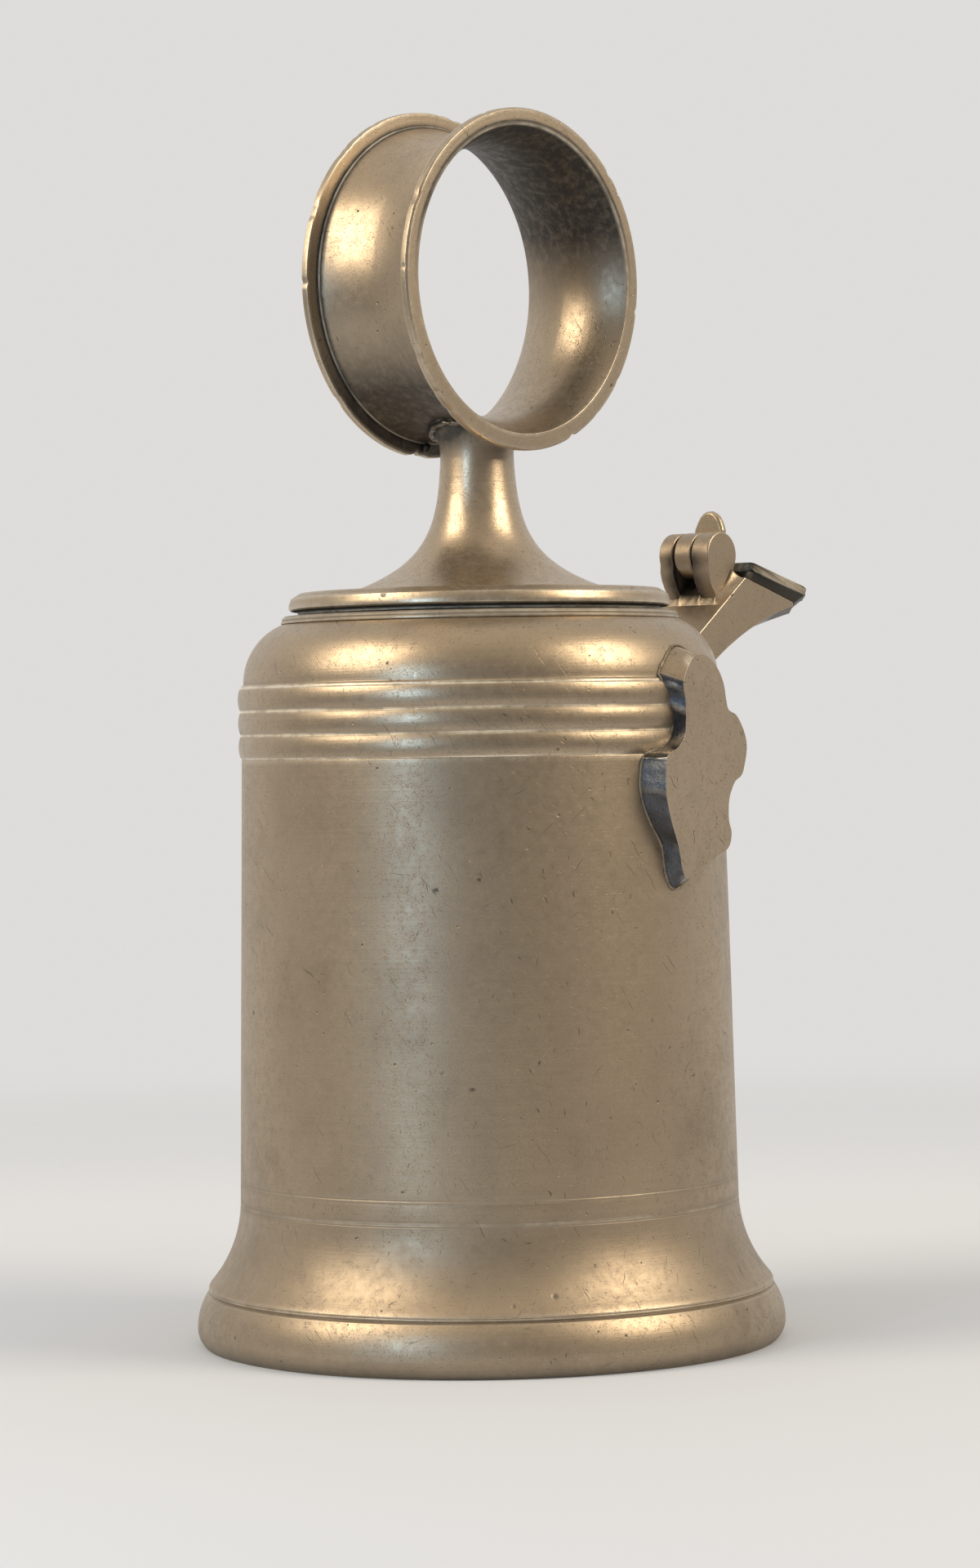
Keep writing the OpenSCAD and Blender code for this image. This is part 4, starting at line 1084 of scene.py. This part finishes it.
for s in np.linspace(0, 1, bed_rows):
    place = np.array([back_x, back_z]) - back_way * bed_l * (1 - s)
    swell = sin(pi * min(1.0, s * 4) / 2) * (1 if s < 0.97 else (1 - s) / 0.03)
    for y in across:
        off = np.abs(lug_sides - y).min()
        inside = abs(y) > lug_side
        rise = (0.9 + 2.6 * s * s) if inside else 0.8
        h = 0.25 + (0.0 if inside else 0.75) + rise * exp(-(off / (1.1 if inside else 0.6)) ** 1.3)
        h = max(0.0, h - 0.3 * max(0.0, abs(y) - 10.8)) * swell + 0.08 * sin(y * 2.1 + s * 9) * swell
        q = place + back_out * h
        bed_verts.append((q[0], y, q[1]))
        # The bed between the lugs carries painted shade.
        between_lugs = near_lug_y - 0.4 < y < far_lug_y + 0.4
        bed_shade.append(min(1.0, 6 * max(0.0, s - 0.12)) * between_lugs)
bed = finish_mesh("hinge_bed", bed_verts, between(bed_rows, len(across), False), spout_pewter,
                  dirt_and_shade=bed_shade)
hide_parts("hinge_fork")
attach(bed, "flagon")

# Pin: an iron rod through the lugs and the flap's knuckle. It is riveted flush on the far side
# and ends inside the near lug.
pin_iron = pewter("pin_iron", (0.24, 0.225, 0.20), (0.13, 0.12, 0.105), rough=0.45, tarnish=1.0,
                  scratches=0.4)
pin_start, pin_end = -7.2, lug_side
pin_section = worn_section([(0.0, pin_start), (pin_r, pin_start), (pin_r, pin_end), (0.0, pin_end)],
                           0.3, 1.0, False)
pin = turned("pin", pin_section, pin_iron, 40, False, axis_z=hinge_z, axis_x=hinge_x)
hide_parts("hinge_pin")
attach(pin, "flagon")

# Flap: a thick six-sided plate with a bevelled underside, one casting with the knuckle that
# turns on the pin. Its corners are worn round, and its underside and back carry painted shade.
mouth_way = np.array([cos(mouth_fall), -sin(mouth_fall)])
mouth_up = np.array([sin(mouth_fall), cos(mouth_fall)])
flap_gap, flap_overhang, flap_front_over = 0.6, 1.3, 3.38
flap_half = spout_w / 2 + flap_overhang
flap_back = np.array([back_x, back_z]) + flap_gap * mouth_way
flap_side_l = spout_mouth_l / cos(mouth_fall) + flap_front_over - flap_gap


def flap_loop(inset, up):
    """The flap's outline, drawn in, at a height over the mouth's plane, with worn corners."""
    back, side_l, half = inset / 2, flap_side_l - inset, flap_half - inset
    tip_l, tip_half = side_l + bow_reach, half - bow_reach
    corners = [(back, -half), (side_l, -half), (tip_l, -tip_half), (tip_l, tip_half), (side_l, half),
               (back, half)]
    flat = worn_section(corners, 1.6, 3.0)
    out = []
    for u, y in flat:
        q = flap_back + mouth_way * u + mouth_up * (up + 0.03 * u * (up > 1))
        out.append((q[0], y, q[1]))
    return out


flap_pewter = pewter("flap_pewter", (0.45, 0.358, 0.255), (0.25, 0.20, 0.148), rough=0.36, tarnish=0.8,
                     scratches=0.6)
flap_levels = [(1.9, 0.1), (1.87, 0.2), (0.35, 2.0), (0.0, 2.25), (0.0, 3.9), (0.15, 4.35), (0.5, 4.65),
               (1.0, 4.75), (2.6, 4.8)]
flap_loops = [flap_loop(inset, up) for inset, up in flap_levels]
rows, n = len(flap_levels), len(flap_loops[0])
flap_faces = [tuple(range(n)), tuple(range(rows * n - 1, (rows - 1) * n - 1, -1))]
flap_faces += [(a, d, c, b) for a, b, c, d in between(rows, n)]
flap = finish_mesh("flap_plate", [v for l in flap_loops for v in l], flap_faces, flap_pewter)
# Its downward and backward faces take the painted shade.
flap.data.materials.append(underside_shade_pewter)
for f in flap.data.polygons:
    if f.normal.z < -0.25 or f.normal.x < -0.75:
        f.material_index = 1
marked(flap, 0.2, 4, 0.9, wear_and_highlight_share=0.4)
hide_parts("flap")
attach(flap, "flap")
knuckle_gap, knuckle_w, neck_drop = 0.5, 5.6, 1.8
knuckle_low = near_lug_y + knuckle_gap
knuckle_high = knuckle_low + knuckle_w
low_of_neck, top_of_neck = flap_back + mouth_up * 1.0, flap_back + mouth_up * 4.7
neck_outline = arc(hinge_x, hinge_z, knuckle_r, 90, 300, 40) + [
    tuple(low_of_neck), tuple(low_of_neck + mouth_way * neck_drop),
    tuple(top_of_neck + mouth_way * neck_drop), (hinge_x + 7.2, hinge_z + 5.0),
    (hinge_x + 5.6, hinge_z + 6.35)]
knuckle = finish_mesh("flap_knuckle", *prism(neck_outline, knuckle_low, knuckle_high), flap_pewter)
marked(knuckle, 0.45, 5, wear_and_highlight_share=0.35)
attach(knuckle, "flap")

# Thumbpiece: a small lobed tab of cast pewter, soldered on the knuckle. Thumbs have worn it soft
# and bright.
thumb_t, thumb_clear = 2.4, 0.5
thumb_x, thumb_low_z = hinge_x + 5.0, hinge_z + knuckle_r + thumb_clear
thumb_outline = [(5.4, -1.1), (5.4, 0.2), (5.1, 1.1), (4.2, 2.8), (3.3, 4.1), (2.2, 5.1), (0.8, 5.7),
                 (-0.8, 5.7), (-2.2, 5.1), (-3.2, 4.1), (-4.0, 2.8), (-4.6, 1.2), (-4.9, 0.2), (-4.9, -1.1)]
lying, thumb_faces = prism(thumb_outline, 0.0, thumb_t)
thumb = finish_mesh("thumb_tab", [(thumb_x + y, x, thumb_low_z + z) for x, y, z in lying], thumb_faces,
                    bright_pewter)
marked(thumb, 1.0, 6, 0.5, wear_and_highlight_share=0.5)
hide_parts("thumbpiece")
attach(thumb, "flap")

# The stem's solder: a rough dark collar of it joins the stem to the ring, and one round drop has
# set under the ring's far side.
stem_seam = []
for a in np.arange(60) * pi / 30:
    x, y = (flare_r - 0.7) * cos(a), (flare_r - 0.7) * sin(a)
    stem_seam.append((x, y, ring_z + y * tan(ring_lean) - sqrt(waist_at(y) ** 2 - x * x) - 0.9))
patch_pewter = pewter("patch_pewter", (0.20, 0.17, 0.135), (0.05, 0.043, 0.036), rough=0.30, tarnish=1.0,
                      dirt_and_shade=(0.02, 0.018, 0.016), relief=0.0008)
solder("stem_solder", "lid", stem_seam, True, 1.0, 1.3, 1500.0, 0.65, 11, patch_pewter)
drop_y, drop_a = 15.0, radians(-2.7)
drop_r = float(waist_at(drop_y)) + 1.6
drop = ring_tilt @ Vector((drop_r * sin(drop_a), drop_y, -drop_r * cos(drop_a))) + Vector((0, 0, ring_z))
b = bmesh.new()
bmesh.ops.create_icosphere(b, subdivisions=4, radius=1.3 * MM, matrix=Matrix.Translation(drop * MM))
drop_mesh = bpy.data.meshes.new("solder_drop")
b.to_mesh(drop_mesh)
b.free()
drop_mesh.polygons.foreach_set("use_smooth", [True] * len(drop_mesh.polygons))
# The drop under the ring takes the painted shade.
drop_mesh.materials.append(underside_shade_pewter)
drop_ball = placed("solder_drop", drop_mesh)
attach(drop_ball, "lid")
